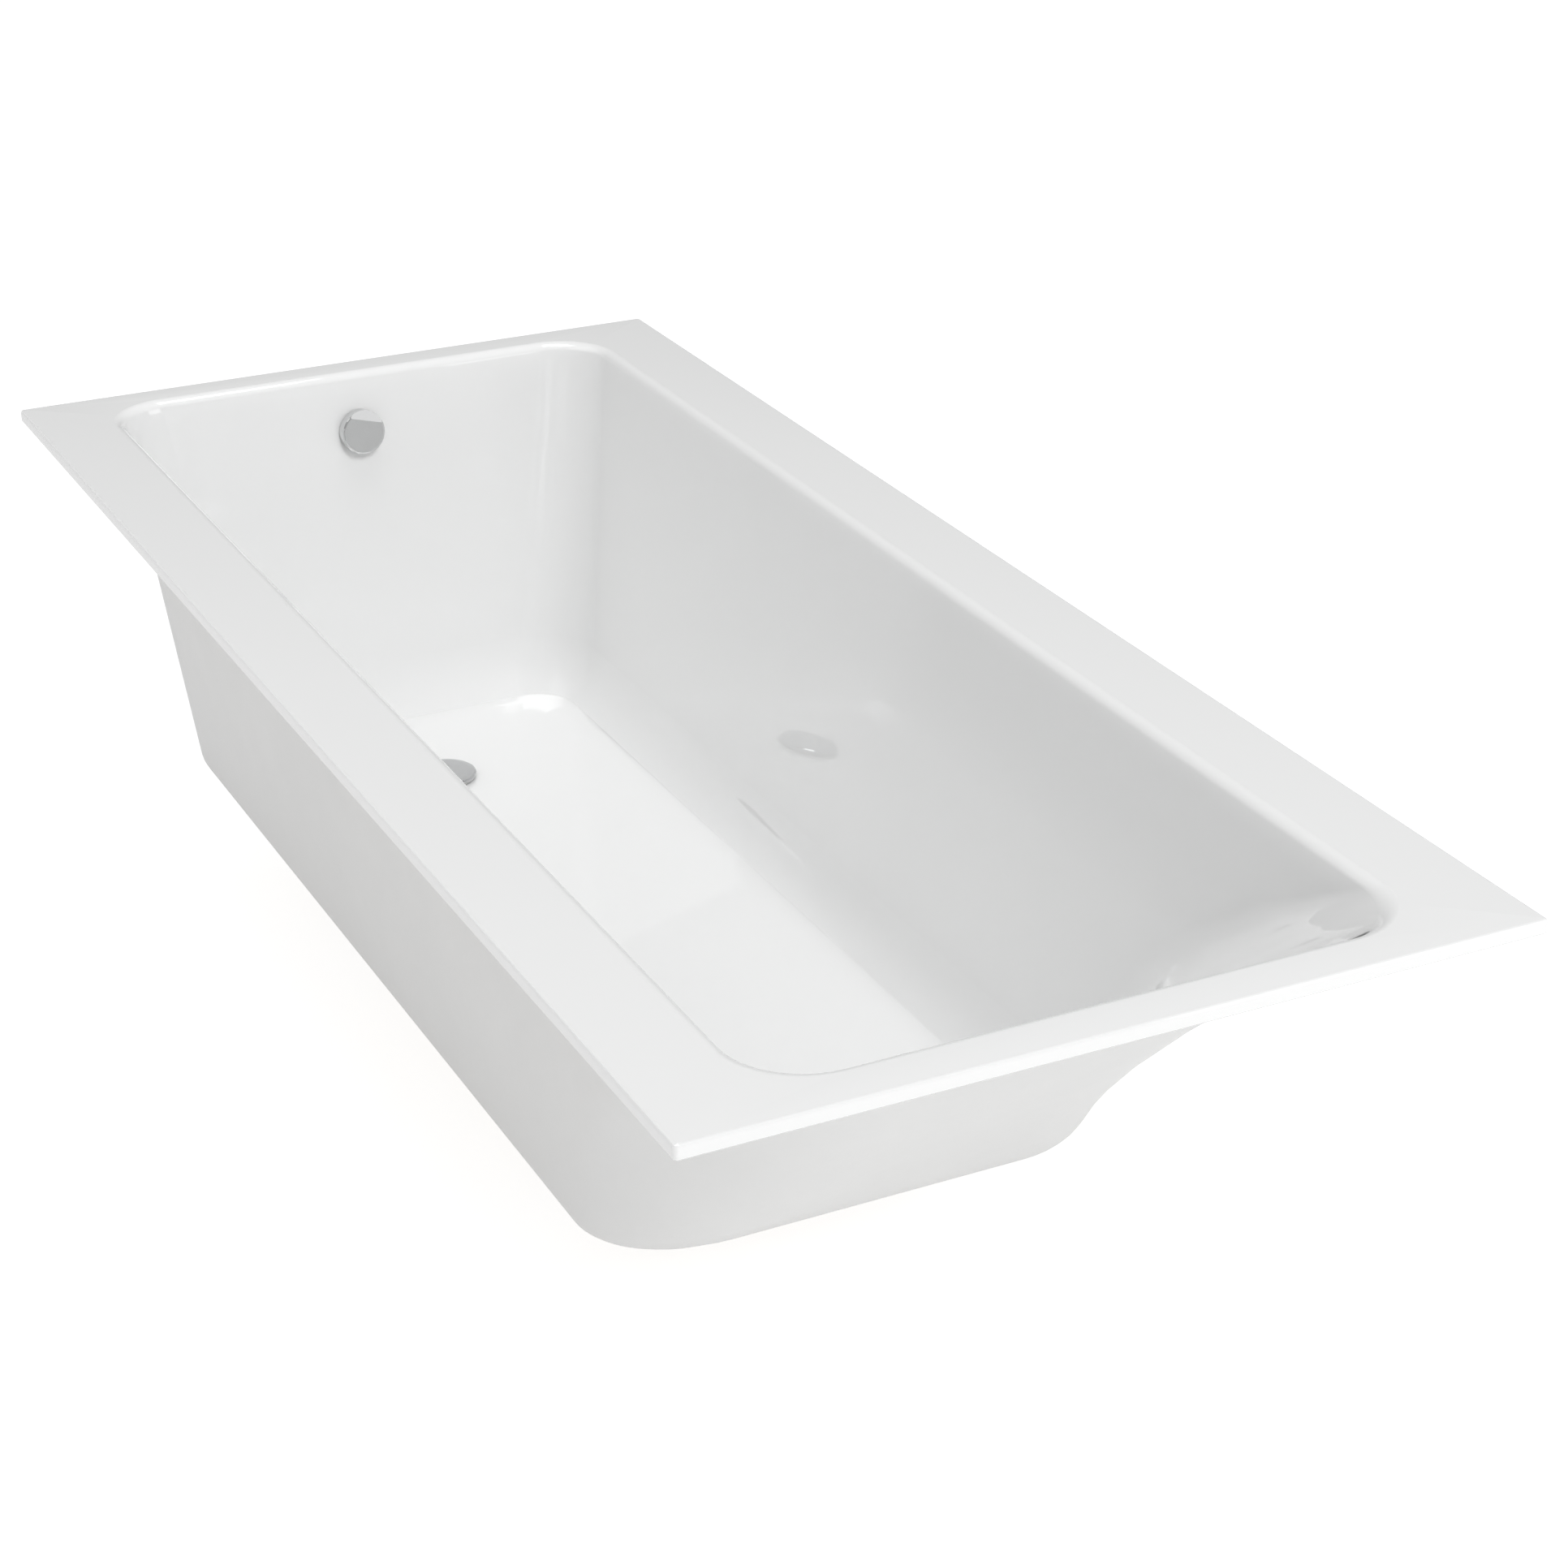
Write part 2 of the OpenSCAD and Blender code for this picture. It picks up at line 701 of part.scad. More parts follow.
// Casting under the floor: collar, chamber, hose inlet, tail and the cup for the crank
module waste_body() {
  r = chamber_d / 2;
  inlet_z = body_top - inlet_drop;
  color("lightgray")
    at_waste()
      difference() {
        union() {
          translate([0, 0, body_top - body_flange_t])
            cylinder(r = body_flange_r, h = body_flange_t);
          translate([0, 0, chamber_bottom])
            cylinder(r = r, h = chamber_h - root);
          translate([0, 0, tail_bottom])
            cylinder(r = tail_r, h = tail_h + root);
          for (a = [45 : 90 : 315])
            rotate([0, 0, a])
              translate([r - root, -collar_rib_w / 2, body_top - body_flange_t - collar_rib_h])
                cube([collar_rib_l, collar_rib_w, collar_rib_h + root]);
          translate([root - r, 0, inlet_z])
            rotate([0, -90, 0])
              cylinder(r = stub_r + boss_wall, h = boss_reach - r + root);
          translate([root - r, 0, inlet_z])
            rotate([0, -90, 0])
              cylinder(r = stub_r, h = boss_reach + hose_grip - r + root);
          translate([lever_x, -shaft_end - 4 * root, lever_z])
            rotate([-90, 0, 0])
              cylinder(r = shaft_d / 2 + shaft_wall, h = shaft_end + cup_y + 5 * root);
          translate([lever_x, cup_y, lever_z])
            rotate([-90, 0, 0])
              cylinder(r = cup_r, h = cup_l);
          translate([gland_x + gland_in, cup_y + gland_from_cup, lever_z - crank_l])
            rotate([0, -90, 0])
              cylinder(r = gland_r, h = gland_l);
        }
        translate([0, 0, chamber_top])
          cylinder(r = neck_d / 2 + slip_gap, h = collar_depth + past);
        translate([0, 0, chamber_bottom + cast_t])
          cylinder(r = r - cast_t, h = chamber_top - chamber_bottom - cast_t);
        translate([0, 0, tail_bottom - past])
          cylinder(r = tail_r - cast_t, h = tail_h + cast_t + 2 * past);
        translate([-r / 2, 0, inlet_z])
          rotate([0, -90, 0])
            cylinder(r = stub_bore_r, h = boss_reach + hose_grip);
        translate([lever_x, -shaft_end - past, lever_z])
          rotate([-90, 0, 0])
            cylinder(r = shaft_d / 2 + run_gap, h = shaft_end + cup_y + cup_floor + 2 * past);
        translate([lever_x, cup_y + cup_floor, lever_z])
          rotate([-90, 0, 0])
            cylinder(r = cup_bore_r, h = cup_l);
        translate([gland_x + past, cup_y + gland_from_cup, lever_z - crank_l])
          rotate([0, -90, 0])
            cylinder(r = cable_d / 2 + run_gap, h = gland_l + past);
        translate([lever_x - cup_bore_r / 2, cup_y + gland_from_cup, lever_z - crank_l])
          rotate([0, -90, 0])
            cylinder(r = wire_hole_r, h = gland_l);
      }
}

// Domed cover with a hub for the stem and a carrier for the seal
module plug_cover() {
  r = cover_d / 2;
  b = stem_d / 2;
  crown = cover_z + cover_h;
  under = cover_z + cover_under;
  hub_z = cover_z - plug_depth - plug_hub_l;
  color("silver")
    at_waste()
      rotate_extrude()
        polygon([[0, crown + cover_dome], [r * 0.5, crown + 0.75 * cover_dome], [r * 0.8, crown],
                 [r - 2, crown - cover_dome], [r - 0.6, crown - 1.9 * cover_dome], [r, under],
                 [r - 0.4, cover_z], [r - 2, cover_z], [r - 2.6, under], [plug_r, under],
                 [plug_r, cover_z - plug_depth], [b + guide_wall, cover_z - plug_depth],
                 [b + guide_wall, hub_z], [b + press_gap, hub_z],
                 [b + press_gap, cover_z + stem_depth], [0, cover_z + stem_depth]]);
}

module plug_seal() {
  rise = 2;
  z = flange_top - seat_depth + rise;
  slope = seat_run / seat_depth;
  r = neck_bore_r + rise * slope - 1.25 * seat_gap;
  b = plug_r + press_gap;
  color("black")
    at_waste()
      rotate_extrude()
        polygon([[b, z], [r, z], [r + seal_h * slope, z + seal_h], [b, z + seal_h]]);
}

module plug_stem() {
  top = cover_z + stem_depth - seat_gap;
  color("silver")
    at_waste()
      union() {
        translate([0, 0, stem_bottom + chamfer])
          cylinder(d = stem_d, h = top - stem_bottom - chamfer);
        translate([0, 0, stem_bottom])
          cylinder(d1 = stem_d - 2 * chamfer, d2 = stem_d, h = chamfer);
      }
}

module stem_nut() {
  color("silver")
    at_waste()
      translate([0, 0, cover_z - plug_depth - plug_hub_l - stem_nut_h])
        hex_nut(stem_d / 2 + guide_wall, stem_d / 2 + press_gap, stem_nut_h);
}

// Lever under the stem, drawn with the plug closed
module lift_lever() {
  hub_r = min(shaft_d / 2 + crank_wall, chamber_d / 2 - cast_t - lever_x - 2 * seat_gap);
  color("dimgray")
    translate([waste_x + lever_x, 0, lever_z])
      rotate([0, -lever_tilt, 0])
        difference() {
          union() {
            across(hub_r, lever_w + 2);
            translate([-lever_l, -lever_w / 2 + 0.5, -lever_t / 2])
              cube([lever_l, lever_w - 1, lever_t]);
            translate([-lever_l, 0, 0])
              across(lever_tip_r, lever_w);
          }
          across(shaft_d / 2 + press_gap, lever_w + 4);
        }
}

module lever_shaft() {
  color("silver")
    translate([waste_x + lever_x, -shaft_end, lever_z])
      rotate([-90, 0, 0])
        cylinder(d = shaft_d, h = shaft_end + crank_y + crank_w);
}

module shaft_seal() {
  color("black")
    translate([waste_x + lever_x, cup_y + cup_floor, lever_z])
      rotate([-90, 0, 0])
        tube(shaft_d + 2 * crank_wall, shaft_d + 2 * run_gap, shaft_seal_t);
}

module crank_arm() {
  color("dimgray")
    translate([waste_x + lever_x, crank_y + crank_w / 2, lever_z])
      rotate([0, -lever_tilt, 0])
        difference() {
          union() {
            across(shaft_d / 2 + crank_wall, crank_w);
            translate([-crank_w / 2, -crank_w / 2, -crank_l])
              cube([crank_w, crank_w, crank_l]);
            translate([0, 0, -crank_l])
              across(crank_r, crank_w);
          }
          across(shaft_d / 2 + press_gap, crank_w + 2 * past);
        }
}

module lever_cap() {
  color("lightgray")
    translate([waste_x + lever_x, cup_y + cup_l, lever_z])
      rotate([-90, 0, 0])
        union() {
          cylinder(r = cup_r, h = cap_t);
          translate([0, 0, -cap_plug])
            tube(2 * (cup_bore_r - run_gap), 2 * (cup_bore_r - cap_plug), cap_plug + root);
        }
}

// Round form of the knob with its slanted grip, used for its outside and, smaller, for its hollow
module knob_form(r, low, top, rounding) {
  difference() {
    rotate_extrude()
      polygon(concat([[0, low], [0, top]], [for (q = rounding) [r - q[0], top - q[1]]], [[r, low]]));
    rotate([0, 0, 180 - grip_turn])
      translate([grip_from, -knob_d, top])
        rotate([0, grip_slant, 0])
          cube([knob_d, 2 * knob_d, knob_d]);
  }
}

// Hollow chrome knob: it covers the flange and leaves a water gap behind its edge
module overflow_knob() {
  b = spindle_d / 2;
  inner_top = knob_proud - knob_t;
  color("silver")
    at_overflow()
      difference() {
        union() {
          difference() {
            knob_form(knob_d / 2, knob_gap, knob_proud, knob_edge);
            knob_form(knob_d / 2 - knob_t / 2, knob_gap - past, inner_top, [[0, 0]]);
          }
          translate([0, 0, hub_z])
            cylinder(r = b + hub_wall, h = inner_top - hub_z + root);
        }
        translate([0, 0, hub_z - past])
          cylinder(r = b + press_gap, h = inner_top - hub_z + past);
        translate([0, 0, hub_z + grub_drop])
          rotate([0, 90, 0])
            cylinder(r = grub_r + run_gap, h = b + hub_wall + past);
      }
}

module knob_grub_screw() {
  color("dimgray")
    at_overflow()
      translate([spindle_d / 2 + run_gap, 0, hub_z + grub_drop])
        rotate([0, 90, 0])
          difference() {
            cylinder(r = grub_r, h = grub_l);
            translate([0, 0, grub_l - 1.4])
              cylinder(r = 0.8, h = 2, $fn = 6);
          }
}

module knob_spindle() {
  back = housing_depth - housing_back - root;
  color("silver")
    at_overflow()
      translate([0, 0, -back])
        cylinder(d = spindle_d, h = back + knob_proud - knob_t - seat_gap);
}

// Grooved drum that winds the control wire
module cable_drum() {
  b = spindle_d / 2 + press_gap;
  z = housing_back - housing_depth + cast_t + drum_rim;
  color("dimgray")
    at_overflow()
      rotate_extrude()
        polygon([[b, z], [drum_r, z], [drum_r, z + drum_rim], [drum_r - drum_groove, z + drum_h / 2],
                 [drum_r, z + drum_h - drum_rim], [drum_r, z + drum_h], [b, z + drum_h]]);
}

// Front ring inside the knob, with water holes and two screws
module overflow_flange() {
  color("silver")
    at_overflow()
      difference() {
        union() {
          translate([0, 0, gasket_thin])
            cylinder(r = over_flange_r, h = over_flange_t);
          translate([0, 0, -over_hub_l])
            cylinder(r = spindle_d / 2 + boss_wall, h = over_hub_l + gasket_thin + root);
        }
        translate([0, 0, -over_hub_l - past])
          cylinder(r = spindle_d / 2 + run_gap, h = over_hub_l + hub_z + past);
        for (a = [0, 40, 140, 180, 220, 320])
          rotate([0, 0, a])
            translate([water_hole_from, 0, 0])
              cylinder(r = water_hole_r, h = hub_z + past);
        for (side = [-1, 1])
          translate([0, side * pillar_y, 0])
            cylinder(r = face_screw_r + slip_gap, h = hub_z + past);
      }
}

module overflow_screws() {
  color("gainsboro")
    at_overflow()
      for (side = [-1, 1])
        translate([0, side * pillar_y, gasket_thin + over_flange_t])
          difference() {
            union() {
              cylinder(r = face_screw_head_r, h = face_screw_head_h);
              translate([0, 0, -face_screw_l])
                cylinder(r = face_screw_r, h = face_screw_l + root);
            }
            translate([-slot_l / 2, -slot_w / 2, face_screw_head_h - slot_depth])
              cube([slot_l, slot_w, 2 * slot_depth]);
          }
}

module overflow_gasket_front() {
  color("dimgray")
    at_overflow()
      tube(2 * over_flange_r - 2 * slip_gap, over_hole_d - 1.4, gasket_thin);
}

module overflow_gasket_rear() {
  color("dimgray")
    at_overflow()
      translate([0, 0, housing_back])
        tube(2 * housing_flange_r - 2, over_hole_d + 1, gasket_thick);
}

// Housing behind the wall: chamber, screw pillars, spindle bearing, hose stub and cable gland
module overflow_housing() {
  back = housing_back - housing_depth;
  mid = housing_back - housing_depth / 2;
  color("lightgray")
    at_overflow()
      difference() {
        union() {
          difference() {
            union() {
              translate([0, 0, housing_back - housing_flange_t])
                cylinder(r = housing_flange_r, h = housing_flange_t);
              translate([0, 0, back])
                cylinder(r = housing_r, h = housing_depth - root);
              translate([housing_r - cast_t, 0, mid])
                rotate([0, 90, 0])
                  cylinder(r = stub_r + boss_wall, h = housing_reach - housing_r + cast_t);
              translate([housing_r - cast_t, 0, mid])
                rotate([0, 90, 0])
                  cylinder(r = stub_r, h = housing_reach - housing_r + cast_t + hose_grip);
              translate([gland_from, gland_y, mid])
                rotate([0, 90, 0])
                  cylinder(r = gland_r, h = high_gland_x + gland_l - gland_from - past);
            }
            translate([0, 0, back + cast_t])
              cylinder(r = housing_r - cast_t, h = housing_depth);
            translate([housing_r / 2, 0, mid])
              rotate([0, 90, 0])
                cylinder(r = stub_bore_r, h = housing_reach + hose_grip);
          }
          for (side = [-1, 1])
            translate([0, side * pillar_y, back + root])
              cylinder(r = pillar_r, h = gasket_thin - run_gap - back - root);
          translate([0, 0, back])
            cylinder(r = spindle_d / 2 + boss_wall, h = cast_t + drum_rim - seat_gap);
        }
        for (side = [-1, 1])
          translate([0, side * pillar_y, gasket_thin + over_flange_t - face_screw_l - 2.5])
            cylinder(r = face_screw_r + slip_gap, h = face_screw_l + 2.5);
        translate([0, 0, back + root])
          cylinder(r = spindle_d / 2 + run_gap, h = cast_t + 2 * past);
        translate([high_gland_x - past, gland_y, mid])
          rotate([0, 90, 0])
            cylinder(r = cable_d / 2 + run_gap, h = gland_l + past);
      }
}

// Frame of a path: points, and rings square to it in the plane through Y
function unit(v) = v / norm(v);
function tangents(p) = [for (i = [0 : len(p) - 1]) unit(p[min(i + 1, len(p) - 1)] - p[max(i - 1, 0)])];
function path_ring(p, d, r, sides) =
  let (u = unit(cross([0, 1, 0], d)), v = unit(cross(d, u)))
  [for (j = [0 : sides - 1]) p + r * (cos(360 * j / sides) * u + sin(360 * j / sides) * v)];

// Overflow hose route: down along the wall, one bend under the tub, then level into the waste
hose_sides = 8;
function in_overflow(p) = [over_x, p[1], over_z]
  + p[0] * [sin(drain_lean), 0, -cos(drain_lean)] + p[2] * [cos(drain_lean), 0, sin(drain_lean)];
hose_start = in_overflow([housing_reach + seat_gap, 0, housing_back - housing_depth / 2]);
hose_end = [waste_x - boss_reach - seat_gap, 0, body_top - inlet_drop];
turn = 90 - drain_lean;
down_run = (hose_start[2] - hose_end[2] - hose_bend_r * (1 - cos(turn))) / cos(drain_lean);
bend_start = hose_start + down_run * [sin(drain_lean), 0, -cos(drain_lean)];
bend_run = hose_bend_r * PI * turn / 180;
bend_end_x = bend_start[0] + hose_bend_r * sin(turn);
level_run = hose_end[0] - bend_end_x;
hose_run = down_run + bend_run + level_run;
function hose_point(s) =
  s <= down_run ? hose_start + s * [sin(drain_lean), 0, -cos(drain_lean)]
  : s <= down_run + bend_run
    ? let (a = (s - down_run) / bend_run * turn)
      [bend_end_x - hose_bend_r * sin(turn - a), 0, hose_end[2] + hose_bend_r * (1 - cos(turn - a))]
  : [bend_end_x + s - down_run - bend_run, 0, hose_end[2]];
function hose_dir(s) = unit(hose_point(min(s + 0.5, hose_run)) - hose_point(max(s - 0.5, 0)));

rib_count = floor((hose_run - 2 * hose_grip) / rib_pitch);
rib_start = (hose_run - rib_count * rib_pitch) / 2;
hose_stations = concat(
  [[0, hose_d / 2 - rib_depth]],
  [for (i = [0 : rib_count - 1]) each [[rib_start + i * rib_pitch, hose_d / 2 - rib_depth],
                                       [rib_start + (i + 0.5) * rib_pitch, hose_d / 2]]],
  [[rib_start + rib_count * rib_pitch, hose_d / 2 - rib_depth], [hose_run, hose_d / 2 - rib_depth]]);
bore_steps = 30;

module overflow_hose() {
  outer = [for (q = hose_stations) path_ring(hose_point(q[0]), hose_dir(q[0]), q[1], hose_sides)];
  inner = [for (i = [bore_steps : -1 : 0])
    let (s = hose_run * i / bore_steps)
    path_ring(hose_point(s), hose_dir(s), hose_bore / 2, hose_sides)];
  rings = concat(outer, inner);
  n = hose_sides;
  m = len(rings);
  color("gray")
    polyhedron([for (r = rings) each r],
               [for (i = [0 : m - 1], j = [0 : n - 1])
                 let (a = i * n, b = ((i + 1) % m) * n, k = (j + 1) % n)
                 each [[a + j, b + j, b + k], [a + j, b + k, a + k]]],
               convexity = 10);
}

// Worm-drive band clip on the hose's plain cuff, drawn round its own Z axis
clip_w = 9;
clip_t = 1.2;
clip_box_l = 14;
clip_box_h = 6;
clip_screw_r = 3;
module hose_clip() {
  r = hose_d / 2 - rib_depth + seat_gap;
  color("silver")
    difference() {
      union() {
        cylinder(r = r + clip_t, h = clip_w);
        translate([-clip_box_l / 2, r - root, 0])
          cube([clip_box_l, clip_box_h, clip_w]);
        translate([-clip_box_l / 2 - clip_screw_r, r + clip_box_h / 2 - root, clip_w / 2])
          rotate([0, 90, 0])
            cylinder(r = clip_screw_r, h = clip_screw_r + root, $fn = 6);
      }
      translate([0, 0, -past])
        cylinder(r = r, h = clip_w + 2 * past);
    }
}

module hose_clip_top() {
  at_overflow()
    translate([housing_reach + (hose_grip - clip_w) / 2, 0, housing_back - housing_depth / 2])
      rotate([0, 90, 0])
        rotate([0, 0, 180])
          hose_clip();
}

module hose_clip_bottom() {
  translate([waste_x - boss_reach - (hose_grip + clip_w) / 2, 0, body_top - inlet_drop])
    rotate([0, 90, 0])
      rotate([0, 0, 180])
        hose_clip();
}

// Control cable: level under the tub, round its lower corner, then up beside the drain end wall
low_gland = [waste_x + gland_x, cup_y + gland_from_cup, lever_z - crank_l];
high_gland = in_overflow([high_gland_x, gland_y, housing_back - housing_depth / 2]);
cable_drop = high_gland[2] - low_gland[2];
low_route = [[0, 0, 0], [-20, 0, 0], [-60, 0, 0], [-100, -2, 2], [-140, -6, 12]];
corner_route = [[20.6, 8, 33], [6.1, 5, 69], [3.9, 3, 109]];
wall_route = [[3.7, 0.471], [2.4, 0.666], [0.2, 0.861], [0, 0.944], [0, 1]];
function beside_wall(inward, y, lift) = high_gland
  + [inward + (cable_drop - lift) * tan(drain_lean), y, lift - cable_drop];
cable_knots = concat([for (p = low_route) low_gland + p],
                     [for (p = corner_route) beside_wall(p[0], p[1], p[2])],
                     [for (p = wall_route) beside_wall(p[0], 0, p[1] * cable_drop)]);
function spline(p, i, s) =
  let (a = p[max(i - 1, 0)], b = p[i], c = p[i + 1], d = p[min(i + 2, len(p) - 1)])
  0.5 * (2 * b + s * (c - a) + s * s * (2 * a - 5 * b + 4 * c - d) + s * s * s * (3 * b - 3 * c + d - a));
cable_path = concat([for (i = [0 : len(cable_knots) - 2], s = [0 : 0.2 : 0.9]) spline(cable_knots, i, s)],
                    [cable_knots[len(cable_knots) - 1]]);

module control_cable() {
  dirs = tangents(cable_path);
  rings = [for (i = [0 : len(cable_path) - 1]) path_ring(cable_path[i], dirs[i], cable_d / 2, 8)];
  color("black")
    skin(backwards(rings));
}

// Stadium outline of the trap's pot, drawn in plan
module pot_plan(r) {
  union() {
    circle(r = r);
    translate([0, trap_offset])
      circle(r = r);
    translate([-r, 0])
      square([2 * r, trap_offset]);
  }
}

// Trap pot: inlet collar, outlet socket and a cleaning boss
module trap_pot() {
  color("lightgray")
    at_waste()
      difference() {
        union() {
          translate([0, 0, pot_bottom + pot_step])
            linear_extrude(trap_pot_h - pot_step)
              pot_plan(trap_r);
          translate([0, 0, pot_bottom])
            linear_extrude(cast_t)
              pot_plan(trap_r - pot_step);
          translate([0, 0, pot_top - root])
            cylinder(r = collar_r, h = collar_h + root);
          translate([0, trap_offset, pot_top - root])
            cylinder(r = socket_r, h = socket_h + root);
          translate([0, -trap_r + 2 * cast_t, cap_z])
            rotate([90, 0, 0])
              cylinder(r = cap_boss_r, h = cap_boss_l + 2 * cast_t);
        }
        translate([0, 0, pot_bottom + cast_t])
          linear_extrude(trap_pot_h - 2 * cast_t)
            pot_plan(trap_r - cast_t);
        translate([0, 0, pot_top - cast_t - past])
          cylinder(r = dip_r + slip_gap, h = cast_t + 2 * past);
        translate([0, 0, pot_top])
          cylinder(r = tail_r + slip_gap, h = collar_h + past);
        translate([0, trap_offset, pot_top - cast_t - past])
          cylinder(r = outlet_bore_r - 1, h = cast_t + 2 * past);
        translate([0, trap_offset, pot_top])
          cylinder(r = outlet_d / 2 + run_gap, h = socket_h + past);
        translate([0, -trap_r / 2, cap_z])
          rotate([90, 0, 0])
            cylinder(r = cap_bore_r, h = trap_r);
      }
}

// Dip tube that hangs in the pot from a flange on its top plate
module trap_dip_tube() {
  low = pot_bottom + dip_clear;
  color("gainsboro")
    at_waste()
      rotate_extrude()
        polygon([[dip_r - dip_wall, low], [dip_r, low], [dip_r, pot_top], [tail_r, pot_top],
                 [tail_r, pot_top + dip_flange_t], [dip_r - dip_wall, pot_top + dip_flange_t]]);
}

module trap_seal() {
  color("black")
    at_waste()
      translate([0, 0, pot_top + collar_h])
        tube(2 * (collar_r - slip_gap), 2 * (tail_r + run_gap), squeeze_h - seat_gap);
}

// Union nut with grip ribs, joining the trap's collar to the waste's tail
module trap_union_nut() {
  color("lightgray")
    at_waste()
      translate([0, 0, pot_top + collar_h + 2 * squeeze_h - union_h])
        difference() {
          union() {
            cylinder(r = collar_r + nut_wall, h = union_h);
            for (a = [0 : 30 : 330])
              rotate([0, 0, a])
                translate([collar_r + nut_wall - root, -rib_w / 2, 0])
                  cube([rib_h + root, rib_w, union_h]);
          }
          translate([0, 0, -past])
            cylinder(r = collar_r + slip_gap, h = union_h - squeeze_h + past);
          translate([0, 0, nut_lip])
            cylinder(r = tail_r + slip_gap, h = union_h);
        }
}

module trap_cap_seal() {
  color("black")
    at_waste()
      translate([0, -trap_r - cap_boss_l, cap_z])
        rotate([90, 0, 0])
          tube(2 * cap_boss_r - 1, 2 * cap_bore_r, cap_seal_t);
}

module trap_cap() {
  color("lightgray")
    at_waste()
      translate([0, -trap_r - cap_boss_l - cap_seal_t, cap_z])
        union() {
          rotate([90, 0, 0])
            cylinder(r = cap_boss_r + 2, h = cap_head_h);
          rotate([90, 0, 0])
            cylinder(r = cap_grip_r, h = cap_grip_h, $fn = 6);
          rotate([-90, 0, 0])
            cylinder(r = cap_bore_r - slip_gap, h = cap_thread_l);
        }
}

module outlet_nut() {
  color("lightgray")
    at_waste()
      translate([0, trap_offset, pot_top + 2])
        difference() {
          cylinder(r = socket_r + nut_wall + 1, h = socket_h + squeeze_h, $fn = 8);
          translate([0, 0, -past])
            cylinder(r = socket_r + slip_gap, h = socket_h + squeeze_h - 2.5 + past);
          translate([0, 0, nut_lip])
            cylinder(r = outlet_d / 2 + slip_gap, h = socket_h + squeeze_h);
        }
}

module outlet_seal() {
  color("black")
    at_waste()
      translate([0, trap_offset, pot_top + socket_h])
        tube(2 * socket_r, outlet_d + 2 * run_gap, outlet_seal_t);
}

// Outlet bend that turns in the trap's socket, with a plain spigot at its end
module outlet_elbow() {
  r = outlet_d / 2;
  rise = elbow_z - pot_top - seat_gap;
  color("lightgray")
    at_waste()
      translate([0, trap_offset, 0])
        union() {
          translate([0, 0, pot_top + seat_gap])
            tube(2 * r, 2 * outlet_bore_r, rise);
          translate([0, elbow_r, elbow_z])
            rotate([90, 0, -90])
              rotate_extrude(angle = 90)
                translate([elbow_r, 0])
                  difference() {
                    circle(r = r);
                    circle(r = outlet_bore_r);
                  }
          translate([0, elbow_r, elbow_z + elbow_r])
            rotate([-90, 0, 0])
              rotate_extrude()
                polygon([[outlet_bore_r, 0], [r, 0], [r, outlet_l - 2], [r - 1, outlet_l], [outlet_bore_r, outlet_l]]);
        }
}

tub_shell();
base_board();
rim_batten_front();
rim_batten_rear();
rim_batten_head();
rim_batten_drain();
leg_rail_drain();
leg_rail_head();
rail_screws();
foot_nuts();
foot_stud_drain_front();
foot_stud_drain_rear();
foot_stud_head_front();
foot_stud_head_rear();
foot_pad_drain_front();
foot_pad_drain_rear();
foot_pad_head_front();
foot_pad_head_rear();
waste_flange();
waste_gasket_top();
waste_gasket_bottom();
waste_body();
plug_cover();
plug_seal();
plug_stem();
stem_nut();
lift_lever();
lever_shaft();
shaft_seal();
crank_arm();
lever_cap();
overflow_knob();
knob_spindle();
cable_drum();
knob_grub_screw();
overflow_flange();
overflow_screws();
overflow_gasket_front();
overflow_gasket_rear();
overflow_housing();
overflow_hose();
hose_clip_top();
hose_clip_bottom();
control_cable();
trap_pot();
trap_dip_tube();
trap_seal();
trap_union_nut();
trap_cap();
trap_cap_seal();
outlet_nut();
outlet_seal();
outlet_elbow();
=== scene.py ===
"""Looks of a drop-in acrylic bathtub with its pop-up waste, trap and levelling feet."""

import json
import logging
import math
from collections.abc import Callable
from dataclasses import dataclass, field
from enum import Enum

import bpy
from mathutils import Matrix, Vector

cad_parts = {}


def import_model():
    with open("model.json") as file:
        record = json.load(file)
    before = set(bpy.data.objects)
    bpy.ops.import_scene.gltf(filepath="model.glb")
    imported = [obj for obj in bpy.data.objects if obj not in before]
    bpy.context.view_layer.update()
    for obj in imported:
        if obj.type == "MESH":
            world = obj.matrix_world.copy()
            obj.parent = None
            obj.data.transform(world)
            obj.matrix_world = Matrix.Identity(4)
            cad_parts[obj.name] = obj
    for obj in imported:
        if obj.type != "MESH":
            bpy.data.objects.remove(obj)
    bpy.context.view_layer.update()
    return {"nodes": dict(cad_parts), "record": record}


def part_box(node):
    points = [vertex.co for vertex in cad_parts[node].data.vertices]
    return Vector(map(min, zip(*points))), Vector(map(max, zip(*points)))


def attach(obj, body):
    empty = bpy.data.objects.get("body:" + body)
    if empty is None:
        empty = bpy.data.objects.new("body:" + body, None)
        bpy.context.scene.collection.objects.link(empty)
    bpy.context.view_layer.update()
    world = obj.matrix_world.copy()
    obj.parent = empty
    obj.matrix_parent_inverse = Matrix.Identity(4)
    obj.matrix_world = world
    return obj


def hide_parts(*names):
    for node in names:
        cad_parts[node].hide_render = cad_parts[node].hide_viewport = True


LOG = logging.getLogger("bathtub")
Colour = tuple[float, float, float]
Point = tuple[float, float, float]
WELD = 0.00001
SENSOR_WIDTH = 36.0
CLEAR_DEPTH = 100.0
FLOOR_LEVEL = -0.0005


class Axis(Enum):
    """Which way a pattern's lines run on a piece."""

    X = 0
    Y = 1
    Z = 2


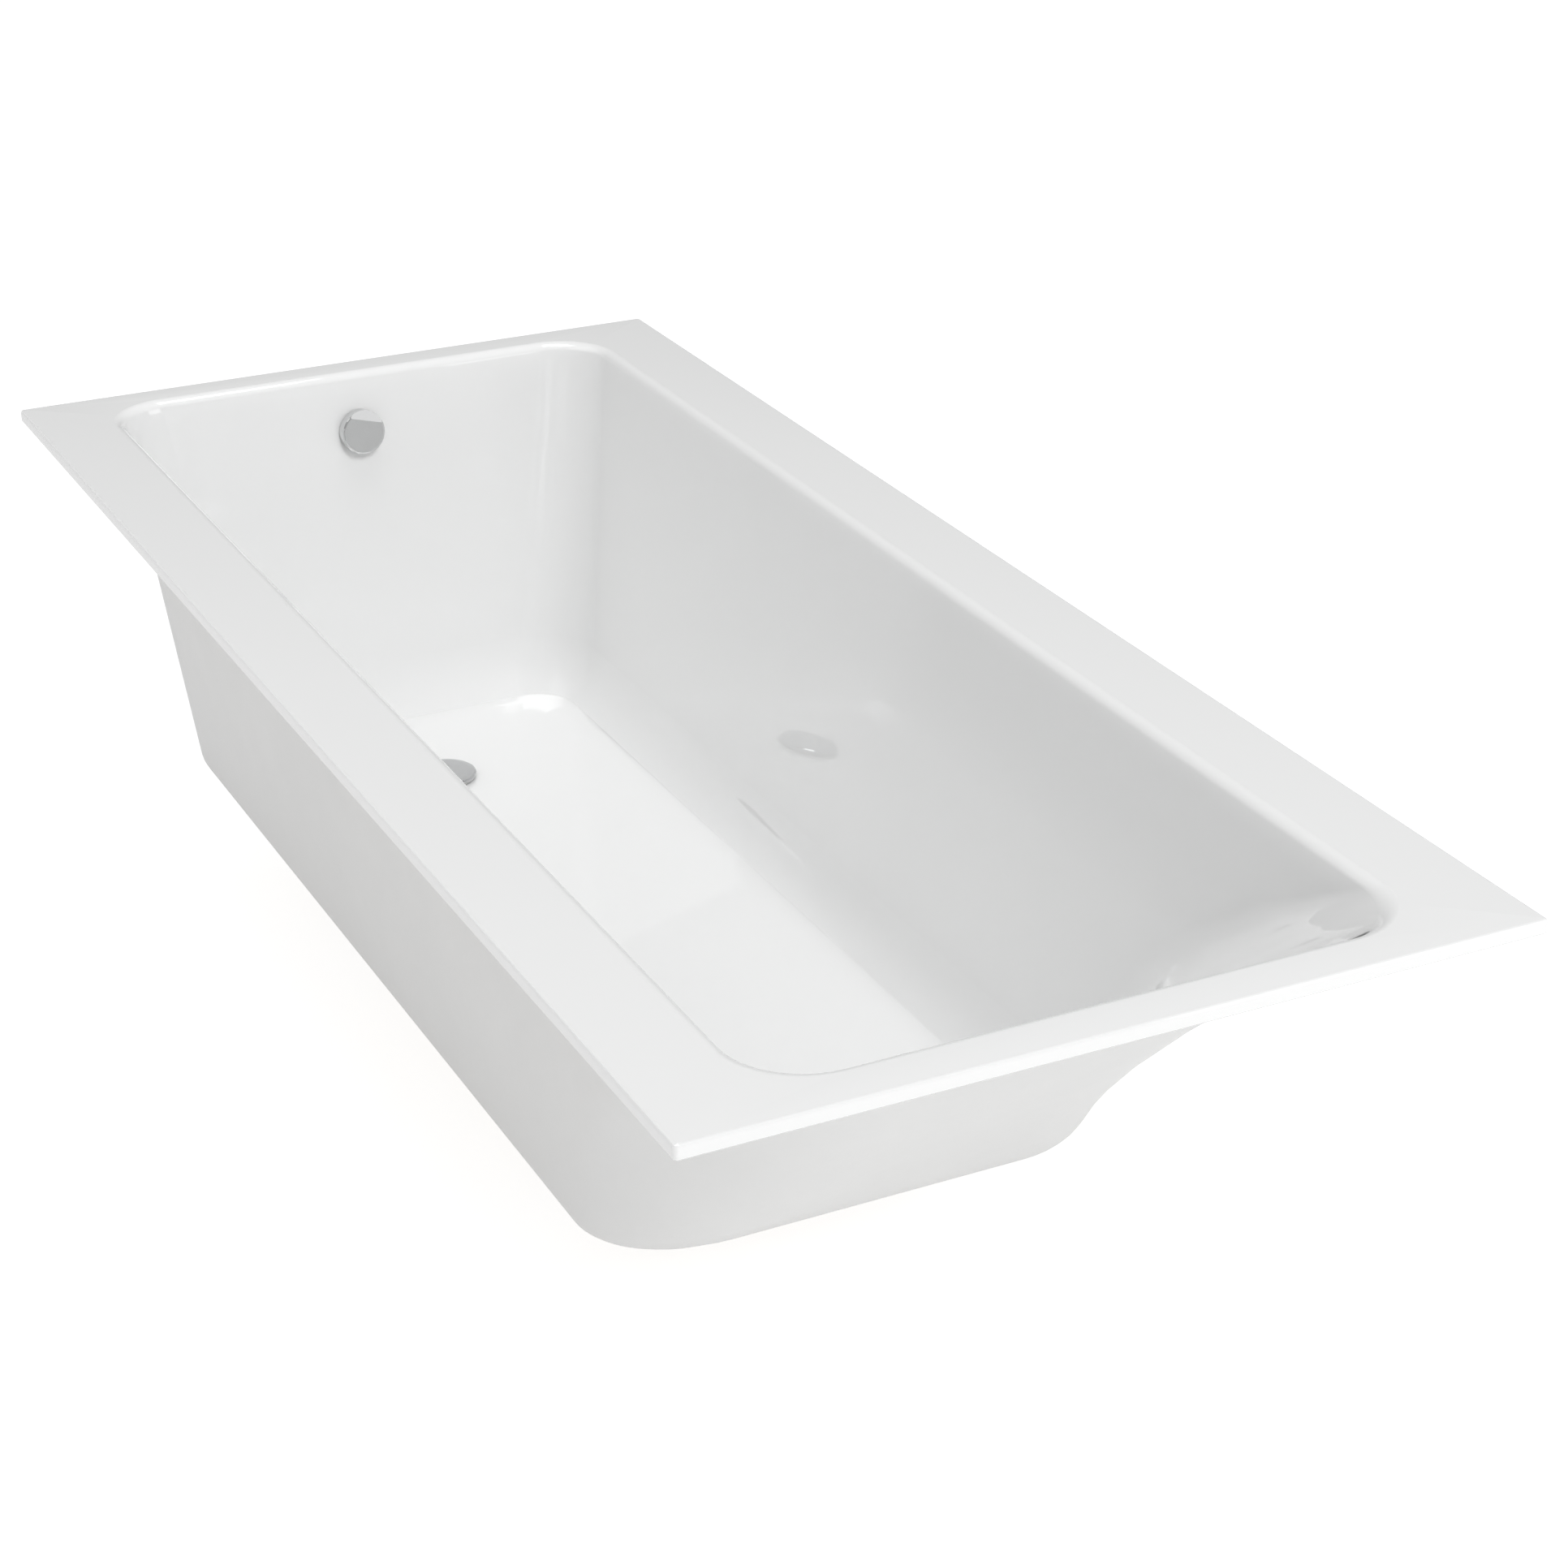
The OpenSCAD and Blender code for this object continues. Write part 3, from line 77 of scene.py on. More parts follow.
class Kind(Enum):
    """The kinds of finish on this tub."""

    ACRYLIC = "acrylic"
    LAMINATE = "laminate_back"
    BOARD = "underfloor_board"
    BATTEN = "rim_wood"
    END_BATTEN = "rim_wood_across"
    GALVANISED = "galvanised_steel"
    ZINC = "zinc_fasteners"
    PAD = "pad_plastic"
    CHROME = "polished_chrome"
    # the plug cover's finish is the polished chrome painted darker: painted shade, not a different metal
    CHROME_WITH_PAINTED_SHADE = "plug_cover_chrome_painted_shade"
    STAINLESS = "stainless_steel"
    BRASS = "brass"
    PIPE = "pipe_plastic"
    NUT = "nut_plastic"
    WORKING = "working_plastic"
    GREY_RUBBER = "grey_rubber"
    BLACK_RUBBER = "black_rubber"
    HOSE = "hose_plastic"
    SLEEVE = "cable_sleeve"


# Node groups


@dataclass
class PatternKit:
    """Builds the shader node groups that the finishes share, each one once."""

    made: dict[str, bpy.types.NodeTree] = field(default_factory=dict)
    slow_detail: float = 3.0
    fine_detail: float = 5.0
    fine_share: float = 0.3
    smear_detail: float = 6.0
    smear_span: tuple[float, float] = (0.3, 0.7)
    line_squeeze: float = 0.02
    line_detail: float = 4.0

    def new_group(self, name: str, floats: dict[str, float], colours: dict[str, Colour],
                  outputs: dict[str, str]) -> tuple[bpy.types.NodeTree, bpy.types.Node, bpy.types.Node]:
        """Makes an empty group with its sockets.

        Args:
            name: the group's name.
            floats: number inputs and their defaults.
            colours: colour inputs and their defaults.
            outputs: output names and socket types.

        Returns:
            The group and its input and output nodes.
        """
        tree = bpy.data.node_groups.new(name, "ShaderNodeTree")
        for label, value in floats.items():
            socket = tree.interface.new_socket(label, in_out="INPUT", socket_type="NodeSocketFloat")
            socket.default_value = value
        for label, value in colours.items():
            socket = tree.interface.new_socket(label, in_out="INPUT", socket_type="NodeSocketColor")
            socket.default_value = (*value, 1.0)
        for label, kind in outputs.items():
            tree.interface.new_socket(label, in_out="OUTPUT", socket_type=kind)
        self.made[name] = tree
        return tree, tree.nodes.new("NodeGroupInput"), tree.nodes.new("NodeGroupOutput")

    def tone_drift(self) -> bpy.types.NodeTree:
        """Slow drift between two tones, as in any moulded or rolled surface.

        Returns:
            The group, with a colour and the mask that mixed it.
        """
        if "tone_drift" in self.made:
            return self.made["tone_drift"]
        tree, inlet, outlet = self.new_group(
            "tone_drift", {"Scale": 4.0, "Fine": 60.0},
            {"Light": (0.9, 0.9, 0.9), "Deep": (0.8, 0.8, 0.8)},
            {"Colour": "NodeSocketColor", "Mask": "NodeSocketFloat"})
        place = tree.nodes.new("ShaderNodeTexCoord")
        slow = tree.nodes.new("ShaderNodeTexNoise")
        slow.inputs["Detail"].default_value = self.slow_detail
        fine = tree.nodes.new("ShaderNodeTexNoise")
        fine.inputs["Detail"].default_value = self.fine_detail
        blend = tree.nodes.new("ShaderNodeMix")
        blend.inputs[0].default_value = self.fine_share
        mix = tree.nodes.new("ShaderNodeMix")
        mix.data_type = "RGBA"
        links = tree.links
        links.new(place.outputs["Object"], slow.inputs["Vector"])
        links.new(place.outputs["Object"], fine.inputs["Vector"])
        links.new(inlet.outputs["Scale"], slow.inputs["Scale"])
        links.new(inlet.outputs["Fine"], fine.inputs["Scale"])
        links.new(slow.outputs[0], blend.inputs[2])
        links.new(fine.outputs[0], blend.inputs[3])
        links.new(blend.outputs[0], mix.inputs[0])
        links.new(inlet.outputs["Light"], mix.inputs[6])
        links.new(inlet.outputs["Deep"], mix.inputs[7])
        links.new(mix.outputs[2], outlet.inputs["Colour"])
        links.new(blend.outputs[0], outlet.inputs["Mask"])
        return tree

    def gloss_range(self) -> bpy.types.NodeTree:
        """Roughness that wanders between two values, with finer smears over it.

        Returns:
            The group, with a roughness.
        """
        if "gloss_range" in self.made:
            return self.made["gloss_range"]
        tree, inlet, outlet = self.new_group(
            "gloss_range", {"Scale": 6.0, "Low": 0.05, "High": 0.12}, {},
            {"Roughness": "NodeSocketFloat"})
        place = tree.nodes.new("ShaderNodeTexCoord")
        noise = tree.nodes.new("ShaderNodeTexNoise")
        noise.inputs["Detail"].default_value = self.smear_detail
        spread = tree.nodes.new("ShaderNodeMapRange")
        spread.inputs["From Min"].default_value = self.smear_span[0]
        spread.inputs["From Max"].default_value = self.smear_span[1]
        links = tree.links
        links.new(place.outputs["Object"], noise.inputs["Vector"])
        links.new(inlet.outputs["Scale"], noise.inputs["Scale"])
        links.new(noise.outputs[0], spread.inputs["Value"])
        links.new(inlet.outputs["Low"], spread.inputs["To Min"])
        links.new(inlet.outputs["High"], spread.inputs["To Max"])
        links.new(spread.outputs[0], outlet.inputs["Roughness"])
        return tree

    def grain(self) -> bpy.types.NodeTree:
        """Fine moulded grain, a height of two sizes of noise.

        Returns:
            The group, with a height.
        """
        if "grain" in self.made:
            return self.made["grain"]
        tree, inlet, outlet = self.new_group(
            "grain", {"Scale": 400.0, "Coarse": 40.0, "Share": 0.4}, {},
            {"Height": "NodeSocketFloat"})
        place = tree.nodes.new("ShaderNodeTexCoord")
        fine = tree.nodes.new("ShaderNodeTexNoise")
        coarse = tree.nodes.new("ShaderNodeTexNoise")
        blend = tree.nodes.new("ShaderNodeMix")
        links = tree.links
        links.new(place.outputs["Object"], fine.inputs["Vector"])
        links.new(place.outputs["Object"], coarse.inputs["Vector"])
        links.new(inlet.outputs["Scale"], fine.inputs["Scale"])
        links.new(inlet.outputs["Coarse"], coarse.inputs["Scale"])
        links.new(inlet.outputs["Share"], blend.inputs[0])
        links.new(fine.outputs[0], blend.inputs[2])
        links.new(coarse.outputs[0], blend.inputs[3])
        links.new(blend.outputs[0], outlet.inputs["Height"])
        return tree

    def drawn_lines(self, axis: Axis) -> bpy.types.NodeTree:
        """Long fine lines along one axis, as from rolling, brushing or sawing.

        Args:
            axis: the axis along which the lines run.

        Returns:
            The group, with a mask that is also used as a height.
        """
        name = f"drawn_lines_{axis.name.lower()}"
        if name in self.made:
            return self.made[name]
        tree, inlet, outlet = self.new_group(
            name, {"Scale": 300.0}, {}, {"Mask": "NodeSocketFloat"})
        place = tree.nodes.new("ShaderNodeTexCoord")
        squeeze = tree.nodes.new("ShaderNodeMapping")
        stretch = [1.0, 1.0, 1.0]
        stretch[axis.value] = self.line_squeeze
        squeeze.inputs["Scale"].default_value = stretch
        noise = tree.nodes.new("ShaderNodeTexNoise")
        noise.inputs["Detail"].default_value = self.line_detail
        links = tree.links
        links.new(place.outputs["Object"], squeeze.inputs["Vector"])
        links.new(squeeze.outputs[0], noise.inputs["Vector"])
        links.new(inlet.outputs["Scale"], noise.inputs["Scale"])
        links.new(noise.outputs[0], outlet.inputs["Mask"])
        return tree

    def chips(self) -> bpy.types.NodeTree:
        """Random flat cells with a tone each, as in particle board or zinc spangle.

        Returns:
            The group, with a mask.
        """
        if "chips" in self.made:
            return self.made["chips"]
        tree, inlet, outlet = self.new_group(
            "chips", {"Scale": 120.0}, {}, {"Mask": "NodeSocketFloat"})
        place = tree.nodes.new("ShaderNodeTexCoord")
        cells = tree.nodes.new("ShaderNodeTexVoronoi")
        tone = tree.nodes.new("ShaderNodeSeparateColor")
        links = tree.links
        links.new(place.outputs["Object"], cells.inputs["Vector"])
        links.new(inlet.outputs["Scale"], cells.inputs["Scale"])
        links.new(cells.outputs["Color"], tone.inputs[0])
        links.new(tone.outputs[0], outlet.inputs["Mask"])
        return tree


# Finishes


@dataclass(frozen=True)
class Finish:
    """One finish: its two tones, gloss range and surface relief."""

    kind: Kind
    light: Colour
    deep: Colour
    gloss: tuple[float, float]
    drift: float = 5.0
    metallic: float = 0.0
    coat: float = 0.0
    coat_roughness: float = 0.03
    ior: float = 1.5
    grain: float = 0.0
    grain_scale: float = 400.0
    grain_coarse: float = 40.0
    lines: Axis | None = None
    line_scale: float = 300.0
    line_relief: float = 0.0
    chip_scale: float = 0.0
    chip_colour: Colour = (0.5, 0.5, 0.5)
    chip_share: float = 0.55
    fine_ratio: float = 14.0
    smear_ratio: float = 2.0

    def place(self, tree: bpy.types.NodeTree, group: bpy.types.NodeTree,
              values: dict[str, float | Colour]) -> bpy.types.Node:
        """Puts a node group into a material.

        Args:
            tree: the material's node tree.
            group: the group to place.
            values: its input values by name.

        Returns:
            The group node.
        """
        node = tree.nodes.new("ShaderNodeGroup")
        node.node_tree = group
        for label, value in values.items():
            node.inputs[label].default_value = (*value, 1.0) if isinstance(value, tuple) else value
        return node

    def base_colour(self, tree: bpy.types.NodeTree, kit: PatternKit, shader: bpy.types.Node) -> None:
        """Wires the tone drift, and the chips or lines over it, into the base colour.

        Args:
            tree: the material's node tree.
            kit: the shared node groups.
            shader: the material's Principled BSDF.
        """
        drift = self.place(tree, kit.tone_drift(), {
            "Scale": self.drift, "Fine": self.drift * self.fine_ratio,
            "Light": self.light, "Deep": self.deep})
        colour = drift.outputs["Colour"]
        mask = None
        if self.chip_scale:
            mask = self.place(tree, kit.chips(), {"Scale": self.chip_scale}).outputs["Mask"]
        elif self.lines is not None:
            lines = self.place(tree, kit.drawn_lines(self.lines), {"Scale": self.line_scale})
            mask = lines.outputs["Mask"]
        if mask is not None:
            over = tree.nodes.new("ShaderNodeMix")
            over.data_type = "RGBA"
            share = tree.nodes.new("ShaderNodeMath")
            share.operation = "MULTIPLY"
            share.inputs[1].default_value = self.chip_share
            over.inputs[7].default_value = (*self.chip_colour, 1.0)
            tree.links.new(mask, share.inputs[0])
            tree.links.new(share.outputs[0], over.inputs[0])
            tree.links.new(colour, over.inputs[6])
            colour = over.outputs[2]
        tree.links.new(colour, shader.inputs["Base Color"])

    def relief(self, tree: bpy.types.NodeTree, kit: PatternKit, shader: bpy.types.Node) -> None:
        """Wires grain and lines into the normal, each by its own bump.

        Args:
            tree: the material's node tree.
            kit: the shared node groups.
            shader: the material's Principled BSDF.
        """
        heights: list[tuple[bpy.types.NodeSocket, float]] = []
        if self.grain:
            group = self.place(tree, kit.grain(), {
                "Scale": self.grain_scale, "Coarse": self.grain_coarse})
            heights.append((group.outputs["Height"], self.grain))
        if self.line_relief and self.lines is not None:
            group = self.place(tree, kit.drawn_lines(self.lines), {"Scale": self.line_scale})
            heights.append((group.outputs["Mask"], self.line_relief))
        normal = None
        for height, distance in heights:
            bump = tree.nodes.new("ShaderNodeBump")
            bump.inputs["Distance"].default_value = distance
            tree.links.new(height, bump.inputs["Height"])
            if normal is not None:
                tree.links.new(normal, bump.inputs["Normal"])
            normal = bump.outputs["Normal"]
        if normal is not None:
            tree.links.new(normal, shader.inputs["Normal"])

    def material(self, kit: PatternKit) -> bpy.types.Material:
        """Makes the material.

        Args:
            kit: the shared node groups.

        Returns:
            The finished material.
        """
        made = bpy.data.materials.new(f"finish_{self.kind.value}")
        made.use_nodes = True
        tree = made.node_tree
        shader = tree.nodes["Principled BSDF"]
        shader.inputs["Metallic"].default_value = self.metallic
        shader.inputs["IOR"].default_value = self.ior
        shader.inputs["Coat Weight"].default_value = self.coat
        shader.inputs["Coat Roughness"].default_value = self.coat_roughness
        low, high = self.gloss
        gloss = self.place(tree, kit.gloss_range(), {
            "Scale": self.drift * self.smear_ratio, "Low": low, "High": high})
        tree.links.new(gloss.outputs["Roughness"], shader.inputs["Roughness"])
        self.base_colour(tree, kit, shader)
        self.relief(tree, kit, shader)
        return made


FINISHES: tuple[Finish, ...] = (
    Finish(Kind.ACRYLIC, (0.875, 0.878, 0.876), (0.862, 0.865, 0.864), (0.03, 0.06), drift=2.0,
           coat=1.0, coat_roughness=0.02, ior=1.49, grain=0.00001, grain_scale=18.0, grain_coarse=6.0),
    Finish(Kind.LAMINATE, (0.84, 0.842, 0.838), (0.80, 0.803, 0.80), (0.38, 0.5), drift=6.0,
           grain=0.00025, grain_scale=220.0, grain_coarse=26.0),
    Finish(Kind.BOARD, (0.56, 0.44, 0.29), (0.42, 0.31, 0.19), (0.5, 0.7), drift=9.0,
           chip_scale=420.0, chip_colour=(0.66, 0.55, 0.38), grain=0.0004, grain_scale=260.0),
    Finish(Kind.BATTEN, (0.62, 0.47, 0.29), (0.5, 0.36, 0.21), (0.45, 0.65), drift=5.0,
           lines=Axis.X, line_scale=160.0, line_relief=0.0004, chip_colour=(0.4, 0.27, 0.14)),
    Finish(Kind.END_BATTEN, (0.62, 0.47, 0.29), (0.5, 0.36, 0.21), (0.45, 0.65), drift=5.0,
           lines=Axis.Y, line_scale=160.0, line_relief=0.0004, chip_colour=(0.4, 0.27, 0.14)),
    Finish(Kind.GALVANISED, (0.66, 0.68, 0.69), (0.5, 0.52, 0.54), (0.28, 0.45), drift=12.0, metallic=0.9,
           chip_scale=110.0, chip_colour=(0.78, 0.8, 0.82), grain=0.00006, grain_scale=300.0),
    Finish(Kind.ZINC, (0.72, 0.73, 0.72), (0.58, 0.59, 0.58), (0.18, 0.32), drift=30.0, metallic=1.0,
           grain=0.00003, grain_scale=600.0),
    Finish(Kind.PAD, (0.035, 0.035, 0.038), (0.022, 0.022, 0.024), (0.5, 0.68), drift=30.0,
           grain=0.00012, grain_scale=900.0),
    Finish(Kind.CHROME, (0.735, 0.74, 0.74), (0.705, 0.71, 0.715), (0.04, 0.08), drift=12.0, metallic=1.0,
           grain=0.000002, grain_scale=120.0),
    # The plug cover: the same polished chrome as the knob with its tones painted darker, which is painted
    # shade.
    Finish(Kind.CHROME_WITH_PAINTED_SHADE, (0.62, 0.625, 0.63), (0.595, 0.6, 0.61), (0.05, 0.1), drift=12.0, metallic=1.0,
           grain=0.000002, grain_scale=120.0),
    Finish(Kind.STAINLESS, (0.66, 0.655, 0.64), (0.55, 0.55, 0.54), (0.2, 0.34), drift=20.0, metallic=1.0,
           lines=Axis.Y, line_scale=900.0, line_relief=0.00002, chip_colour=(0.8, 0.8, 0.79)),
    Finish(Kind.BRASS, (0.72, 0.53, 0.22), (0.56, 0.38, 0.14), (0.2, 0.35), drift=40.0, metallic=1.0,
           grain=0.00003, grain_scale=700.0),
    Finish(Kind.PIPE, (0.80, 0.805, 0.80), (0.74, 0.745, 0.74), (0.3, 0.42), drift=12.0,
           grain=0.00006, grain_scale=700.0),
    Finish(Kind.NUT, (0.60, 0.61, 0.61), (0.52, 0.53, 0.53), (0.34, 0.46), drift=14.0,
           grain=0.00008, grain_scale=700.0),
    Finish(Kind.WORKING, (0.06, 0.06, 0.065), (0.035, 0.035, 0.04), (0.34, 0.48), drift=20.0,
           grain=0.00006, grain_scale=800.0),
    Finish(Kind.GREY_RUBBER, (0.13, 0.13, 0.135), (0.08, 0.08, 0.084), (0.55, 0.7), drift=20.0,
           grain=0.0001, grain_scale=900.0),
    Finish(Kind.BLACK_RUBBER, (0.03, 0.03, 0.03), (0.016, 0.016, 0.017), (0.45, 0.62), drift=24.0,
           grain=0.0001, grain_scale=900.0),
    Finish(Kind.HOSE, (0.42, 0.43, 0.44), (0.34, 0.35, 0.36), (0.32, 0.45), drift=14.0,
           grain=0.00008, grain_scale=500.0),
    Finish(Kind.SLEEVE, (0.03, 0.03, 0.032), (0.018, 0.018, 0.02), (0.4, 0.52), drift=30.0,
           grain=0.00005, grain_scale=900.0),
)


# Helpers for modelling


def select_only(piece: bpy.types.Object) -> None:
    """Deselects everything and makes one object selected and active.

    Args:
        piece: the object to select.
    """
    bpy.ops.object.select_all(action="DESELECT")
    piece.select_set(True)
    bpy.context.view_layer.objects.active = piece


def merged_copy(node: bpy.types.Object, name: str) -> bpy.types.Object:
    """Copies a node's mesh as a new piece and joins its loose triangles.

    Args:
        node: the node's object.
        name: the new piece's name.

    Returns:
        The new piece, at the world origin.
    """
    piece = bpy.data.objects.new(name, node.data.copy())
    bpy.context.scene.collection.objects.link(piece)
    select_only(piece)
    bpy.ops.object.mode_set(mode="EDIT")
    bpy.ops.mesh.select_all(action="SELECT")
    bpy.ops.mesh.remove_doubles(threshold=WELD)
    bpy.ops.mesh.customdata_custom_splitnormals_clear()
    bpy.ops.object.mode_set(mode="OBJECT")
    return piece


def smooth(piece: bpy.types.Object, degrees: float) -> None:
    """Shades a piece smooth up to an angle and weights its normals by face area.

    Args:
        piece: the piece.
        degrees: the widest angle that is still shaded smooth.
    """
    select_only(piece)
    bpy.ops.object.shade_smooth_by_angle(angle=math.radians(degrees))
    weigh = piece.modifiers.new("weigh", "WEIGHTED_NORMAL")
    weigh.keep_sharp = True
    weigh.weight = 50
    bpy.ops.object.modifier_apply(modifier=weigh.name)


def select_where(piece: bpy.types.Object, test: Callable[[Vector], bool]) -> None:
    """Selects the vertices that pass a test and what lies between them, and stays in edit mode.

    Args:
        piece: the piece, which is active.
        test: says for a vertex's place whether it is wanted.
    """
    bpy.ops.object.mode_set(mode="OBJECT")
    mesh = piece.data
    wanted = [test(vertex.co) for vertex in mesh.vertices]
    for vertex in mesh.vertices:
        vertex.select = wanted[vertex.index]
    for edge in mesh.edges:
        edge.select = all(wanted[index] for index in edge.vertices)
    for face in mesh.polygons:
        face.select = all(wanted[index] for index in face.vertices)
    bpy.ops.object.mode_set(mode="EDIT")


def open_ring(name: str, radius: float, sides: int, along: float) -> bpy.types.Object:
    """Adds a ring of edges square to X and goes into edit mode with it selected.

    Args:
        name: the new piece's name.
        radius: the ring's radius.
        sides: the number of its sides.
        along: its place on X.

    Returns:
        The new piece.
    """
    bpy.ops.object.select_all(action="DESELECT")
    bpy.ops.mesh.primitive_circle_add(vertices=sides, radius=radius, rotation=(0.0, math.pi / 2, 0.0),
                                      location=(along, 0.0, 0.0))
    piece = bpy.context.active_object
    piece.name = name
    bpy.ops.object.transform_apply(location=True, rotation=True, scale=True)
    bpy.ops.object.mode_set(mode="EDIT")
    bpy.ops.mesh.select_all(action="SELECT")
    return piece


def pull_ring(step: float, scale: float = 1.0) -> None:
    """Extrudes the selected ring along X and scales the new ring about its middle.

    Args:
        step: how far the new ring moves.
        scale: its size as a share of the old ring's.
    """
    bpy.ops.mesh.extrude_region_move(TRANSFORM_OT_translate={"value": (step, 0.0, 0.0)})
    if scale != 1.0:
        bpy.ops.transform.resize(value=(1.0, scale, scale))


def repeat_along(piece: bpy.types.Object, pitch: float, count: int) -> None:
    """Repeats the active piece along X and joins each copy to the next.

    Args:
        piece: the piece, one pitch long.
        pitch: the distance from copy to copy.
        count: the number of copies.
    """
    repeat = piece.modifiers.new("repeat", "ARRAY")
    repeat.use_relative_offset = False
    repeat.use_constant_offset = True
    repeat.constant_offset_displace = (pitch, 0.0, 0.0)
    repeat.count = count
    repeat.use_merge_vertices = True
    repeat.merge_threshold = WELD
    bpy.ops.object.modifier_apply(modifier=repeat.name)


def close_surface(piece: bpy.types.Object) -> None:
    """Joins what meets, turns the faces outward and leaves edit mode.

    Args:
        piece: the piece that is in edit mode.
    """
    bpy.ops.mesh.select_all(action="SELECT")
    bpy.ops.mesh.remove_doubles(threshold=WELD)
    bpy.ops.mesh.normals_make_consistent(inside=False)
    bpy.ops.object.mode_set(mode="OBJECT")
    select_only(piece)


def bend_along(piece: bpy.types.Object, points: list[Vector]) -> None:
    """Bends a piece that lies along X so that it follows a route of even steps.

    Args:
        piece: the straight piece, which starts at the origin.
        points: the route's points.
    """
    data = bpy.data.curves.new("route", "CURVE")
    data.dimensions = "3D"
    spline = data.splines.new("POLY")
    spline.points.add(len(points) - 1)
    for knot, point in zip(spline.points, points):
        knot.co = (*point, 1.0)
    route = bpy.data.objects.new("route", data)
    bpy.context.scene.collection.objects.link(route)
    select_only(piece)
    bend = piece.modifiers.new("bend", "CURVE")
    bend.object = route
    bend.deform_axis = "POS_X"
    bpy.ops.object.modifier_apply(modifier=bend.name)
    bpy.data.objects.remove(route)
    bpy.data.curves.remove(data)


def route_length(points: list[Vector]) -> float:
    """Adds up a route's length from point to point."""
    return sum((b - a).length for a, b in zip(points, points[1:]))


def even_steps(points: list[Vector], step: float) -> list[Vector]:
    """Walks a route and sets new points on it at even distances.

    Args:
        points: the route's points.
        step: the wanted distance, which is rounded so that it fits.

    Returns:
        The new points, with the same two ends.
    """
    total = route_length(points)
    count = max(2, round(total / step))
    made = [points[0]]
    walked = 0.0
    for start, end in zip(points, points[1:]):
        span = (end - start).length
        while len(made) < count and len(made) * total / count <= walked + span:
            made.append(start.lerp(end, (len(made) * total / count - walked) / span))
        walked += span
    return made + [points[-1]]


# Sub-assemblies


@dataclass
class Workshop:
    """What every sub-assembly needs: the frame and the finished materials."""

    nodes: dict[str, bpy.types.Object]
    slots: dict[str, str]
    bodies: dict[str, str]
    materials: dict[Kind, bpy.types.Material]

    def dress(self, name: str, kind: Kind) -> None:
        """Gives a node's own object a finish."""
        for slot in self.nodes[name].material_slots:
            slot.material = self.materials[kind]

    def stand_in(self, piece: bpy.types.Object, node: str) -> None:
        """Lets a modelled piece take a node's place and body, and hides the node.

        Args:
            piece: the modelled piece.
            node: the name of the node that it stands for.
        """
        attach(piece, self.bodies[node])
        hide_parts(node)


@dataclass
class TubShell:
    """The acrylic tub: glossy inside and on the rim, satin on its back."""

    shop: Workshop
    rim_drop: float = 0.0135
    lip_t: float = 0.005
    smooth_degrees: float = 30.0
    lip_search: float = 1.5
    flat_down: float = -0.9
    upright: float = 0.5

    def inside_lip(self, face: bpy.types.MeshPolygon, half: Vector) -> bool:
        """Says whether a face is the lip's inner side.

        Args:
            face: the face.
            half: half the rim's length and width.

        Returns:
            True for a face that looks at the tub from the lip.
        """
        reach = self.lip_t * self.lip_search
        at_end = abs(face.center.x) > half.x - reach and face.normal.x * face.center.x < 0
        at_side = abs(face.center.y) > half.y - reach and face.normal.y * face.center.y < 0
        return abs(face.normal.z) < self.upright and (at_end or at_side)

    def build(self) -> bpy.types.Object:
        """Makes the smooth shell and marks the faces of its back.

        Returns:
            The shell.
        """
        piece = merged_copy(self.shop.nodes["tub_shell"], "acrylic_shell")
        smooth(piece, self.smooth_degrees)
        low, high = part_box("tub_shell")
        rim_level = high[2] - self.rim_drop
        mesh = piece.data
        mesh.materials.clear()
        mesh.materials.append(self.shop.materials[Kind.ACRYLIC])
        mesh.materials.append(self.shop.materials[Kind.LAMINATE])
        heart = Vector((0.0, 0.0, high[2]))
        half = (Vector(high) - Vector(low)) / 2
        for face in mesh.polygons:
            outward = face.normal.dot(face.center - heart)
            under_rim = face.normal.z < self.flat_down and face.center.z > rim_level
            back = outward > 0 and face.center.z < rim_level
            face.material_index = 1 if back or under_rim or self.inside_lip(face, half) else 0
        return piece

    def dress(self, piece: bpy.types.Object) -> None:
        """Puts the shell on its body in the node's place."""
        self.shop.stand_in(piece, "tub_shell")


@dataclass
class Underframe:
    """Board, battens, rails, fasteners and feet under the tub."""

    shop: Workshop

    def dress(self) -> None:
        """Gives each of the underframe's nodes its finish."""
        self.shop.dress("base_board", Kind.BOARD)
        for side, end in (("front", "head"), ("rear", "drain")):
            self.shop.dress(f"rim_batten_{side}", Kind.BATTEN)
            self.shop.dress(f"rim_batten_{end}", Kind.END_BATTEN)
        for end in ("drain", "head"):
            self.shop.dress(f"leg_rail_{end}", Kind.GALVANISED)
            for side in ("front", "rear"):
                self.shop.dress(f"foot_pad_{end}_{side}", Kind.PAD)
        for name in ("rail_screws", "foot_nuts"):
            self.shop.dress(name, Kind.ZINC)


